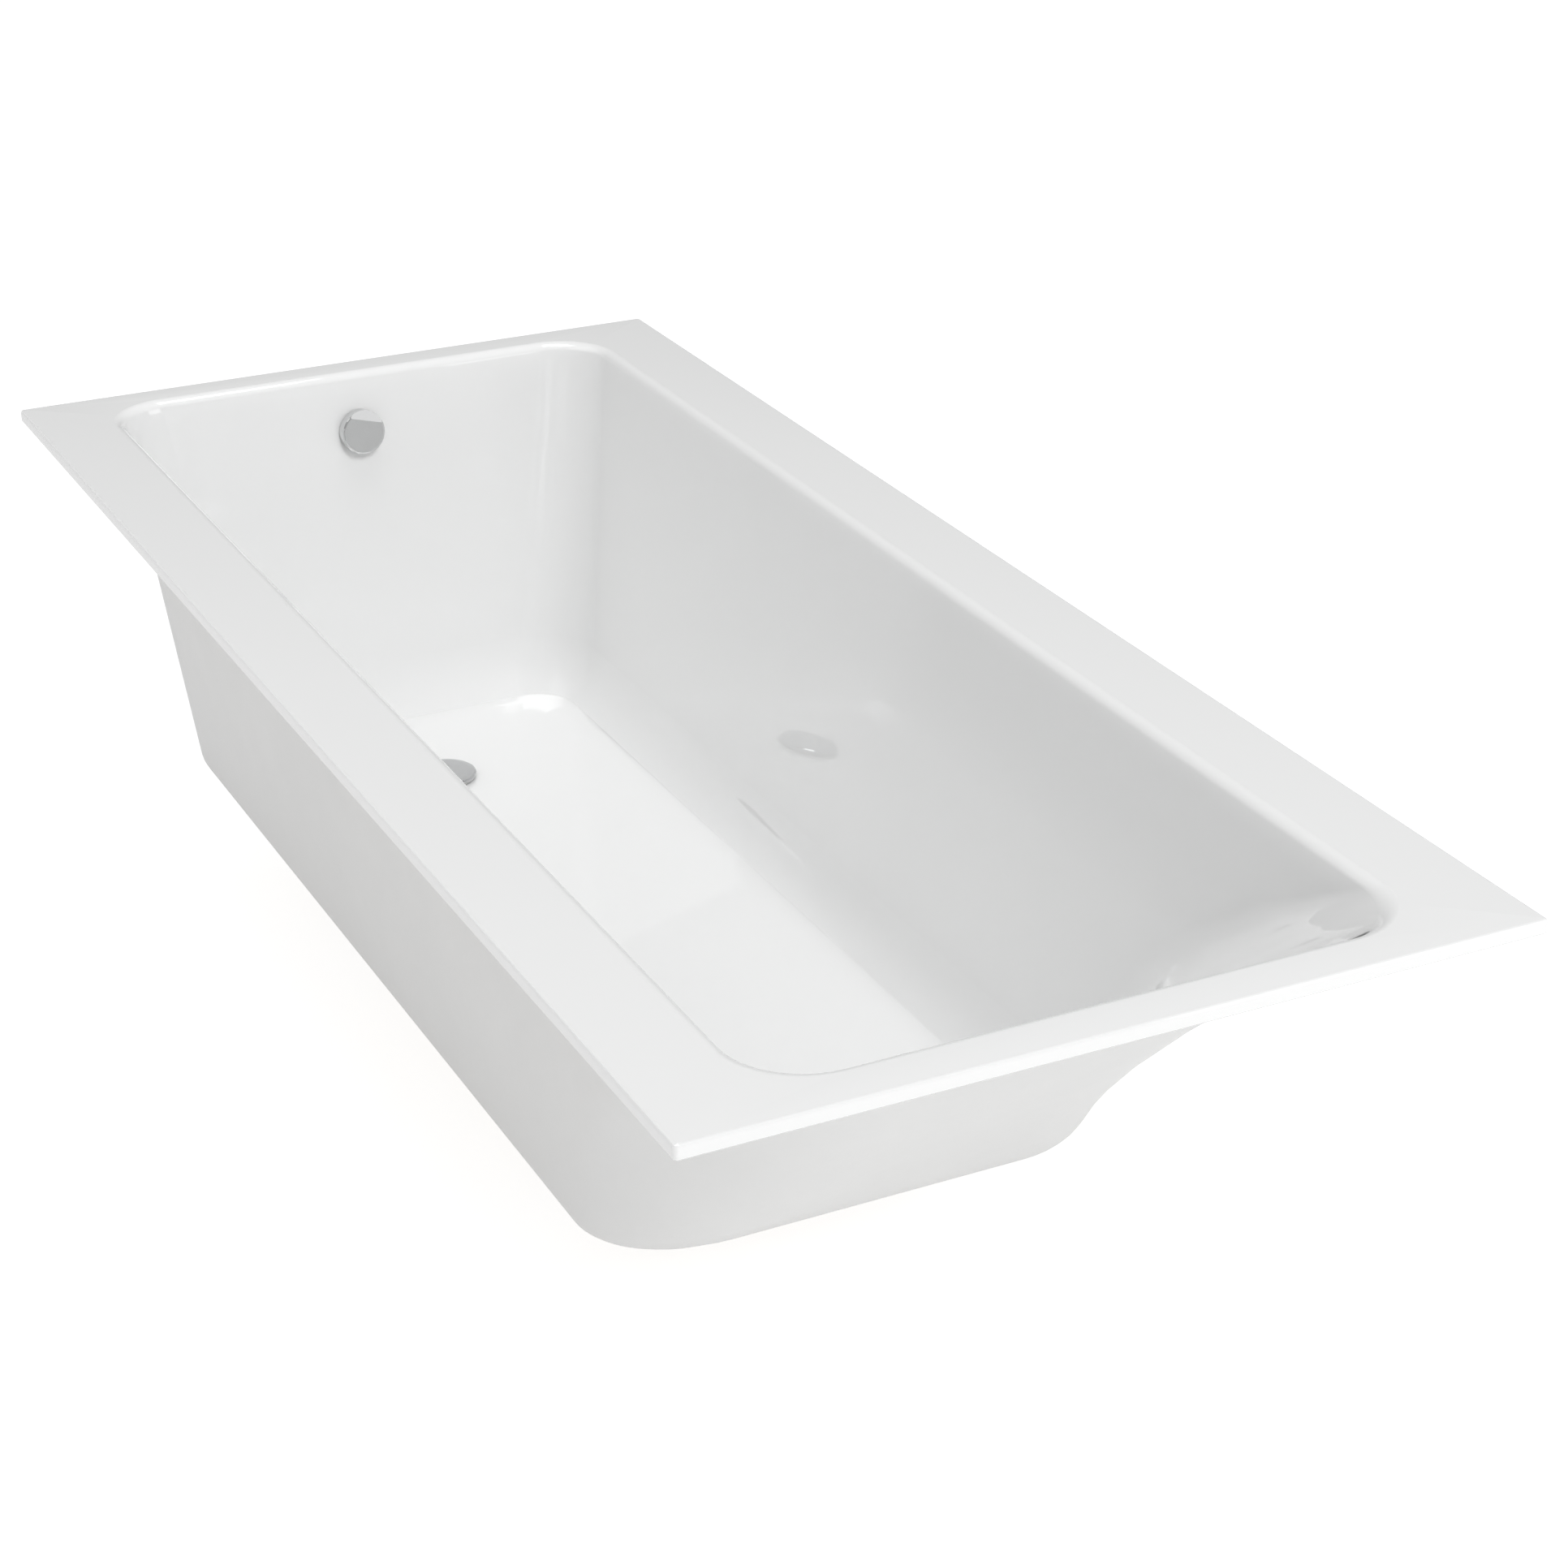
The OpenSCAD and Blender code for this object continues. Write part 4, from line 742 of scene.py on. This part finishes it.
@dataclass
class ThreadedStud:
    """One levelling stud with real ridges and a spanner collar."""

    shop: Workshop
    place: str
    thread_r: float = 0.005
    root_r: float = 0.0044
    pitch: float = 0.0015
    sides: int = 24
    tip: float = 0.001
    collar_r: float = 0.0098
    collar_h: float = 0.007
    collar_lift: float = 0.008
    collar_edge: float = 0.0006
    smooth_degrees: float = 28.0

    def node(self) -> str:
        """Name of the stud's node."""
        return f"foot_stud_{self.place}"

    def shank(self, length: float) -> bpy.types.Object:
        """Models the threaded shank along X: one ridge, repeated, with a closed and tapered end.

        Args:
            length: the stud's length.

        Returns:
            The shank.
        """
        piece = open_ring(f"threaded_stud_{self.place}", self.root_r, self.sides, 0.0)
        pull_ring(self.pitch / 2, self.thread_r / self.root_r)
        pull_ring(self.pitch / 2, self.root_r / self.thread_r)
        bpy.ops.object.mode_set(mode="OBJECT")
        select_only(piece)
        count = int((length - self.tip) / self.pitch)
        repeat_along(piece, self.pitch, count)
        near = self.pitch / 4
        select_where(piece, lambda place: place.x < near)
        bpy.ops.mesh.edge_face_add()
        ridges = count * self.pitch
        select_where(piece, lambda place: place.x > ridges - near)
        pull_ring(length - ridges, (self.root_r - self.tip) / self.root_r)
        bpy.ops.mesh.edge_face_add()
        close_surface(piece)
        return piece

    def collar(self) -> bpy.types.Object:
        """Models the hexagon for the spanner with broken edges.

        Returns:
            The collar, upright over the origin.
        """
        bpy.ops.object.select_all(action="DESELECT")
        middle = self.collar_lift + self.collar_h / 2
        bpy.ops.mesh.primitive_cylinder_add(vertices=6, radius=self.collar_r, depth=self.collar_h,
                                            location=(0.0, 0.0, middle), rotation=(0.0, 0.0, math.pi / 6))
        piece = bpy.context.active_object
        bpy.ops.object.transform_apply(location=True, rotation=True, scale=True)
        bpy.ops.object.mode_set(mode="EDIT")
        bpy.ops.mesh.select_all(action="SELECT")
        bpy.ops.mesh.bevel(offset=self.collar_edge, segments=2)
        bpy.ops.object.mode_set(mode="OBJECT")
        return piece

    def build(self) -> bpy.types.Object:
        """Joins the shank and the collar and stands them where the node stands.

        Returns:
            The stud.
        """
        low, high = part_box(self.node())
        piece = self.shank(high[2] - low[2])
        piece.rotation_euler = (0.0, -math.pi / 2, 0.0)
        bpy.ops.object.transform_apply(location=True, rotation=True, scale=True)
        collar = self.collar()
        select_only(piece)
        collar.select_set(True)
        bpy.ops.object.join()
        piece.location = ((low[0] + high[0]) / 2, (low[1] + high[1]) / 2, low[2])
        bpy.ops.object.transform_apply(location=True, rotation=True, scale=True)
        smooth(piece, self.smooth_degrees)
        return piece

    def dress(self, piece: bpy.types.Object) -> None:
        """Gives the stud its finish and its node's place.

        Args:
            piece: the stud.
        """
        piece.data.materials.clear()
        piece.data.materials.append(self.shop.materials[Kind.ZINC])
        self.shop.stand_in(piece, self.node())


@dataclass
class PopUpWaste:
    """Flange, plug, lever and casting of the waste."""

    shop: Workshop
    parts: dict[str, Kind] = field(default_factory=lambda: {
        "waste_flange": Kind.STAINLESS, "waste_gasket_top": Kind.GREY_RUBBER,
        # the plug cover gets the polished chrome painted darker, which is painted shade
        "waste_gasket_bottom": Kind.GREY_RUBBER, "waste_body": Kind.PIPE, "plug_cover": Kind.CHROME_WITH_PAINTED_SHADE,
        "plug_seal": Kind.BLACK_RUBBER, "plug_stem": Kind.STAINLESS, "stem_nut": Kind.BRASS,
        "lift_lever": Kind.WORKING, "lever_shaft": Kind.STAINLESS, "shaft_seal": Kind.BLACK_RUBBER,
        "crank_arm": Kind.WORKING, "lever_cap": Kind.PIPE})

    def dress(self) -> None:
        """Gives each of the waste's nodes its finish."""
        for name, kind in self.parts.items():
            self.shop.dress(name, kind)


@dataclass
class Overflow:
    """Knob, drum, flange and housing of the overflow."""

    shop: Workshop
    parts: dict[str, Kind] = field(default_factory=lambda: {
        "overflow_knob": Kind.CHROME, "knob_spindle": Kind.STAINLESS, "cable_drum": Kind.WORKING,
        "knob_grub_screw": Kind.ZINC, "overflow_flange": Kind.STAINLESS,
        "overflow_screws": Kind.STAINLESS, "overflow_gasket_front": Kind.GREY_RUBBER,
        "overflow_gasket_rear": Kind.GREY_RUBBER, "overflow_housing": Kind.PIPE,
        "hose_clip_top": Kind.STAINLESS, "hose_clip_bottom": Kind.STAINLESS})

    def dress(self) -> None:
        """Gives each of the overflow's nodes its finish."""
        for name, kind in self.parts.items():
            self.shop.dress(name, kind)


@dataclass(frozen=True)
class WallFrame:
    """The overflow's own directions on the leaning drain end wall."""

    centre: Point = (-0.799745, 0.0, 0.464)
    lean: float = math.radians(5.5)

    def down(self) -> Vector:
        """Direction down the wall."""
        return Vector((math.sin(self.lean), 0.0, -math.cos(self.lean)))

    def at(self, down: float, across: float, out: float) -> Vector:
        """Place of a point of the overflow.

        Args:
            down: distance down the wall from the overflow's centre.
            across: distance to the rear.
            out: distance into the tub, less than zero behind the wall.

        Returns:
            The place in the room.
        """
        outward = Vector((math.cos(self.lean), 0.0, math.sin(self.lean)))
        return Vector(self.centre) + down * self.down() + Vector((0.0, across, 0.0)) + out * outward


@dataclass
class OverflowHose:
    """Ribbed hose: down beside the wall, one bend under the tub, then level to the waste."""

    shop: Workshop
    wall: WallFrame = WallFrame()
    first: tuple[float, float, float] = (0.0363, 0.0, -0.023)
    last: Point = (-0.6133, 0.0, 0.089)
    bend_r: float = 0.066
    bend_steps: int = 24
    route_step: float = 0.004
    root_r: float = 0.013
    crest_r: float = 0.016
    bore_r: float = 0.0115
    pitch: float = 0.0056
    grip: float = 0.026
    sides: int = 32
    rings: int = 8
    bore_rings: int = 90
    fullness: float = 0.7
    smooth_degrees: float = 50.0

    def route(self) -> list[Vector]:
        """Lays the route down the wall, round the bend and level to the waste.

        Returns:
            Its points, even steps apart.
        """
        start, end = self.wall.at(*self.first), Vector(self.last)
        turn = math.pi / 2 - self.wall.lean
        drop = start.z - end.z - self.bend_r * (1.0 - math.cos(turn))
        bend_start = start + drop / math.cos(self.wall.lean) * self.wall.down()
        corner_x = bend_start.x + self.bend_r * math.sin(turn)
        points = [start]
        for step in range(self.bend_steps + 1):
            left = turn * (1.0 - step / self.bend_steps)
            points.append(Vector((corner_x - self.bend_r * math.sin(left), 0.0,
                                  end.z + self.bend_r * (1.0 - math.cos(left)))))
        return even_steps(points + [end], self.route_step)

    def rib_radius(self, share: float) -> float:
        """Radius at a share of the pitch: a full round crest and a narrow root."""
        wave = 0.5 - 0.5 * math.cos(2.0 * math.pi * share)
        return self.root_r + (self.crest_r - self.root_r) * wave ** self.fullness

    def build(self) -> bpy.types.Object:
        """Models one rib, repeats it, adds cuffs and bore, and bends the hose along its route.

        Returns:
            The hose.
        """
        points = self.route()
        total = route_length(points)
        count = int((total - 2 * self.grip) / self.pitch)
        cuff = (total - count * self.pitch) / 2
        piece = open_ring("ribbed_hose", self.root_r, self.sides, cuff)
        for ring in range(self.rings):
            now, then = self.rib_radius(ring / self.rings), self.rib_radius((ring + 1) / self.rings)
            pull_ring(self.pitch / self.rings, then / now)
        bpy.ops.object.mode_set(mode="OBJECT")
        select_only(piece)
        repeat_along(piece, self.pitch, count)
        near = self.pitch / 4 / self.rings
        select_where(piece, lambda place: place.x < cuff + near)
        pull_ring(-cuff)
        pull_ring(0.0, self.bore_r / self.root_r)
        for _ in range(self.bore_rings):
            pull_ring(total / self.bore_rings)
        ribs_end = cuff + count * self.pitch
        select_where(piece, lambda place: abs(place.x - ribs_end) < near
                     and math.hypot(place.y, place.z) > (self.bore_r + self.root_r) / 2)
        pull_ring(total - ribs_end)
        pull_ring(0.0, self.bore_r / self.root_r)
        close_surface(piece)
        bend_along(piece, points)
        smooth(piece, self.smooth_degrees)
        return piece

    def dress(self, piece: bpy.types.Object) -> None:
        """Gives the hose its finish and its node's place.

        Args:
            piece: the hose.
        """
        piece.data.materials.clear()
        piece.data.materials.append(self.shop.materials[Kind.HOSE])
        self.shop.stand_in(piece, "overflow_hose")


@dataclass
class ControlCable:
    """Cable sleeve: level under the tub, round its lower corner, then up beside the wall."""

    shop: Workshop
    wall: WallFrame = WallFrame()
    low: Point = (-0.573834, 0.043, 0.078)
    high: tuple[float, float, float] = (0.025, 0.022, -0.023)
    under: tuple[Point, ...] = ((0.0, 0.0, 0.0), (-0.02, 0.0, 0.0), (-0.06, 0.0, 0.0),
                                (-0.1, -0.002, 0.002), (-0.14, -0.006, 0.012))
    corner: tuple[Point, ...] = ((0.0206, 0.008, 0.033), (0.0061, 0.005, 0.069), (0.0039, 0.003, 0.109))
    beside: tuple[tuple[float, float], ...] = ((0.0037, 0.471), (0.0024, 0.666), (0.0002, 0.861),
                                               (0.0, 0.944), (0.0, 1.0))
    radius: float = 0.003
    sides: int = 24
    span_steps: int = 12
    route_step: float = 0.004
    smooth_degrees: float = 50.0

    def route(self) -> list[Vector]:
        """Lays one smooth curve through the sleeve's knots.

        Returns:
            Its points, even steps apart.
        """
        low, high = Vector(self.low), self.wall.at(*self.high)
        drop = high.z - low.z
        slope = math.tan(self.wall.lean)
        knots = [low + Vector(step) for step in self.under]
        lifts = list(self.corner) + [(inward, 0.0, share * drop) for inward, share in self.beside]
        knots += [high + Vector((inward + (drop - lift) * slope, across, lift - drop))
                  for inward, across, lift in lifts]
        points = []
        for index in range(len(knots) - 1):
            before, here = knots[max(index - 1, 0)], knots[index]
            there, after = knots[index + 1], knots[min(index + 2, len(knots) - 1)]
            for step in range(self.span_steps):
                s = step / self.span_steps
                points.append(0.5 * (2 * here + s * (there - before)
                                     + s * s * (2 * before - 5 * here + 4 * there - after)
                                     + s ** 3 * (3 * here - 3 * there + after - before)))
        return even_steps(points + [knots[-1]], self.route_step)

    def build(self) -> bpy.types.Object:
        """Models the sleeve straight, closes its ends and bends it along its route.

        Returns:
            The sleeve.
        """
        points = self.route()
        total = route_length(points)
        count = len(points) - 1
        piece = open_ring("cable_sleeve", self.radius, self.sides, 0.0)
        bpy.ops.mesh.edge_face_add()
        for _ in range(count):
            pull_ring(total / count)
        close_surface(piece)
        bend_along(piece, points)
        smooth(piece, self.smooth_degrees)
        return piece

    def dress(self, piece: bpy.types.Object) -> None:
        """Gives the sleeve its finish and its node's place.

        Args:
            piece: the sleeve.
        """
        piece.data.materials.clear()
        piece.data.materials.append(self.shop.materials[Kind.SLEEVE])
        self.shop.stand_in(piece, "control_cable")


@dataclass
class Trap:
    """Flat trap with its nuts, seals and outlet bend."""

    shop: Workshop
    parts: dict[str, Kind] = field(default_factory=lambda: {
        "trap_pot": Kind.PIPE, "trap_dip_tube": Kind.PIPE, "trap_seal": Kind.BLACK_RUBBER,
        "trap_union_nut": Kind.NUT, "trap_cap": Kind.NUT, "trap_cap_seal": Kind.BLACK_RUBBER,
        "outlet_nut": Kind.NUT, "outlet_seal": Kind.BLACK_RUBBER, "outlet_elbow": Kind.PIPE})

    def dress(self) -> None:
        """Gives each of the trap's nodes its finish."""
        for name, kind in self.parts.items():
            self.shop.dress(name, kind)


# Studio


@dataclass
class Softbox:
    """One rectangular lamp that looks at a point, and may be left out of the gloss."""

    name: str
    place: Point
    aim: Point
    width: float
    depth: float
    watts: float
    mirrored: bool = True

    def build(self) -> bpy.types.Object:
        """Adds the lamp to the scene.

        Returns:
            The lamp.
        """
        data = bpy.data.lights.new(self.name, "AREA")
        data.shape = "RECTANGLE"
        data.size = self.width
        data.size_y = self.depth
        data.energy = self.watts
        lamp = bpy.data.objects.new(self.name, data)
        bpy.context.scene.collection.objects.link(lamp)
        lamp.location = self.place
        lamp.visible_glossy = self.mirrored
        lamp.rotation_mode = "QUATERNION"
        lamp.rotation_quaternion = (Vector(self.aim) - Vector(self.place)).to_track_quat("-Z", "Y")
        return lamp


@dataclass
class Studio:
    """White floor, pale world, soft lamps and the photograph's camera."""

    rim_height: float
    camera_place: Point = (2.604, -1.162, 1.188)
    azimuth: float = 63.48
    elevation: float = 25.47
    lens: float = 76.2
    floor_size: float = 40.0
    floor_paint: float = 0.36
    floor_glow: float = 0.85
    bounce_paint: float = 0.8
    bounce_glow: float = 0.18
    world_light: float = 0.42

    def camera(self) -> bpy.types.Object:
        """Adds the camera. Its place is counted from the middle of the rim.

        Returns:
            The camera.
        """
        data = bpy.data.cameras.new("studio_camera")
        data.lens = self.lens
        data.sensor_width = SENSOR_WIDTH
        data.clip_end = CLEAR_DEPTH
        eye = bpy.data.objects.new("studio_camera", data)
        bpy.context.scene.collection.objects.link(eye)
        around, above = math.radians(self.azimuth), math.radians(self.elevation)
        level = math.cos(above)
        back = Vector((math.sin(around) * level, -math.cos(around) * level, math.sin(above)))
        eye.location = Vector(self.camera_place) + Vector((0.0, 0.0, self.rim_height))
        eye.rotation_mode = "QUATERNION"
        eye.rotation_quaternion = (-back).to_track_quat("-Z", "Y")
        bpy.context.scene.camera = eye
        return eye

    def seen_directly(self, tree: bpy.types.NodeTree) -> bpy.types.NodeSocket:
        """Adds a mask of rays that come from the camera, also through glass.

        Args:
            tree: the floor's or the world's node tree.

        Returns:
            The mask's output socket.
        """
        path = tree.nodes.new("ShaderNodeLightPath")
        either = tree.nodes.new("ShaderNodeMath")
        either.operation = "MAXIMUM"
        tree.links.new(path.outputs["Is Camera Ray"], either.inputs[0])
        tree.links.new(path.outputs["Is Transmission Ray"], either.inputs[1])
        return either.outputs[0]

    def lit_ground(self, tree: bpy.types.NodeTree, paint: float, glow: float) -> bpy.types.NodeSocket:
        """Adds a matt white ground with some light of its own.

        Args:
            tree: the floor's node tree.
            paint: how much light it scatters, from 0 to 1.
            glow: its own light.

        Returns:
            The shader's output socket.
        """
        matt = tree.nodes.new("ShaderNodeBsdfDiffuse")
        matt.inputs["Color"].default_value = (paint, paint, paint, 1.0)
        light = tree.nodes.new("ShaderNodeEmission")
        light.inputs["Strength"].default_value = glow
        both = tree.nodes.new("ShaderNodeAddShader")
        tree.links.new(matt.outputs[0], both.inputs[0])
        tree.links.new(light.outputs[0], both.inputs[1])
        return both.outputs[0]

    def floor(self) -> bpy.types.Object:
        """Adds the floor: white where it is seen, takes the tub's shadow, and clear from below.

        Returns:
            The floor.
        """
        bpy.ops.object.select_all(action="DESELECT")
        bpy.ops.mesh.primitive_plane_add(size=self.floor_size, location=(0.0, 0.0, FLOOR_LEVEL))
        ground = bpy.context.active_object
        ground.name = "studio_floor"
        paint = bpy.data.materials.new("studio_floor")
        paint.use_nodes = True
        tree = paint.node_tree
        tree.nodes.clear()
        seen = self.lit_ground(tree, self.floor_paint, self.floor_glow)
        unseen = self.lit_ground(tree, self.bounce_paint, self.bounce_glow)
        mix = tree.nodes.new("ShaderNodeMixShader")
        side = tree.nodes.new("ShaderNodeNewGeometry")
        clear = tree.nodes.new("ShaderNodeBsdfTransparent")
        facing = tree.nodes.new("ShaderNodeMixShader")
        out = tree.nodes.new("ShaderNodeOutputMaterial")
        tree.links.new(self.seen_directly(tree), mix.inputs[0])
        tree.links.new(unseen, mix.inputs[1])
        tree.links.new(seen, mix.inputs[2])
        tree.links.new(side.outputs["Backfacing"], facing.inputs[0])
        tree.links.new(mix.outputs[0], facing.inputs[1])
        tree.links.new(clear.outputs[0], facing.inputs[2])
        tree.links.new(facing.outputs[0], out.inputs[0])
        ground.data.materials.append(paint)
        return ground

    def world(self) -> None:
        """Sets a world that is white where it is seen and pale as a light."""
        sky = bpy.data.worlds.new("studio_world")
        sky.use_nodes = True
        tree = sky.node_tree
        tree.nodes.clear()
        light = tree.nodes.new("ShaderNodeBackground")
        light.inputs["Strength"].default_value = self.world_light
        light.inputs["Color"].default_value = (1.0, 1.0, 1.0, 1.0)
        white = tree.nodes.new("ShaderNodeBackground")
        white.inputs["Strength"].default_value = 1.0
        white.inputs["Color"].default_value = (1.0, 1.0, 1.0, 1.0)
        mix = tree.nodes.new("ShaderNodeMixShader")
        out = tree.nodes.new("ShaderNodeOutputWorld")
        tree.links.new(self.seen_directly(tree), mix.inputs[0])
        tree.links.new(light.outputs[0], mix.inputs[1])
        tree.links.new(white.outputs[0], mix.inputs[2])
        tree.links.new(mix.outputs[0], out.inputs[0])
        bpy.context.scene.world = sky

    def lamps(self) -> list[bpy.types.Object]:
        """Adds the soft lamps.

        Returns:
            The lamps.
        """
        rim = self.rim_height
        heart = (0.0, 0.0, rim - 0.2)
        high = (10.0, 0.2, rim + 8.4)
        return [
            Softbox("lamp_top", (-0.3, 0.0, rim + 5.0), heart, 3.0, 2.2, 80.0).build(),
            Softbox("lamp_key", high, heart, 3.0, 4.0, 570.0, mirrored=False).build(),
            Softbox("lamp_key_gloss", high, heart, 3.0, 4.0, 120.0).build(),
            Softbox("lamp_side", (3.2, 2.6, rim + 0.4), heart, 2.2, 1.6, 20.0).build(),
            Softbox("lamp_front", (-1.6, -4.6, rim + 4.6), heart, 7.0, 4.4, 51.0).build(),
            Softbox("lamp_knob", (6.15, 4.34, rim + 3.66), heart, 0.9, 0.9, 1.4).build(),
        ]

    def build(self) -> None:
        """Builds the whole studio."""
        bpy.context.scene.view_settings.view_transform = "Standard"
        self.floor()
        self.world()
        self.lamps()
        self.camera()


def main() -> None:
    """Builds the sub-assemblies in order and reports each one."""
    logging.basicConfig(level=logging.INFO, format="%(name)s: %(message)s")
    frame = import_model()
    record = frame["record"]
    slots = {row["node"]: row["material_slot"] for row in record["subparts"]}
    bodies = {node: body for body, members in record["behaviour"]["bodies"].items() for node in members}
    kit = PatternKit()
    materials = {finish.kind: finish.material(kit) for finish in FINISHES}
    shop = Workshop(frame["nodes"], slots, bodies, materials)
    rim_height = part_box("tub_shell")[1][2]
    Studio(rim_height).build()
    studs = [ThreadedStud(shop, f"{end}_{side}") for end in ("drain", "head") for side in ("front", "rear")]
    for maker in (TubShell(shop), OverflowHose(shop), ControlCable(shop), *studs):
        piece = maker.build()
        maker.dress(piece)
        LOG.info("%s built, %d faces", piece.name, len(piece.data.polygons))
    for assembly in (Underframe(shop), PopUpWaste(shop), Overflow(shop), Trap(shop)):
        assembly.dress()
        LOG.info("%s dressed", type(assembly).__name__)


if __name__ == "__main__":
    main()
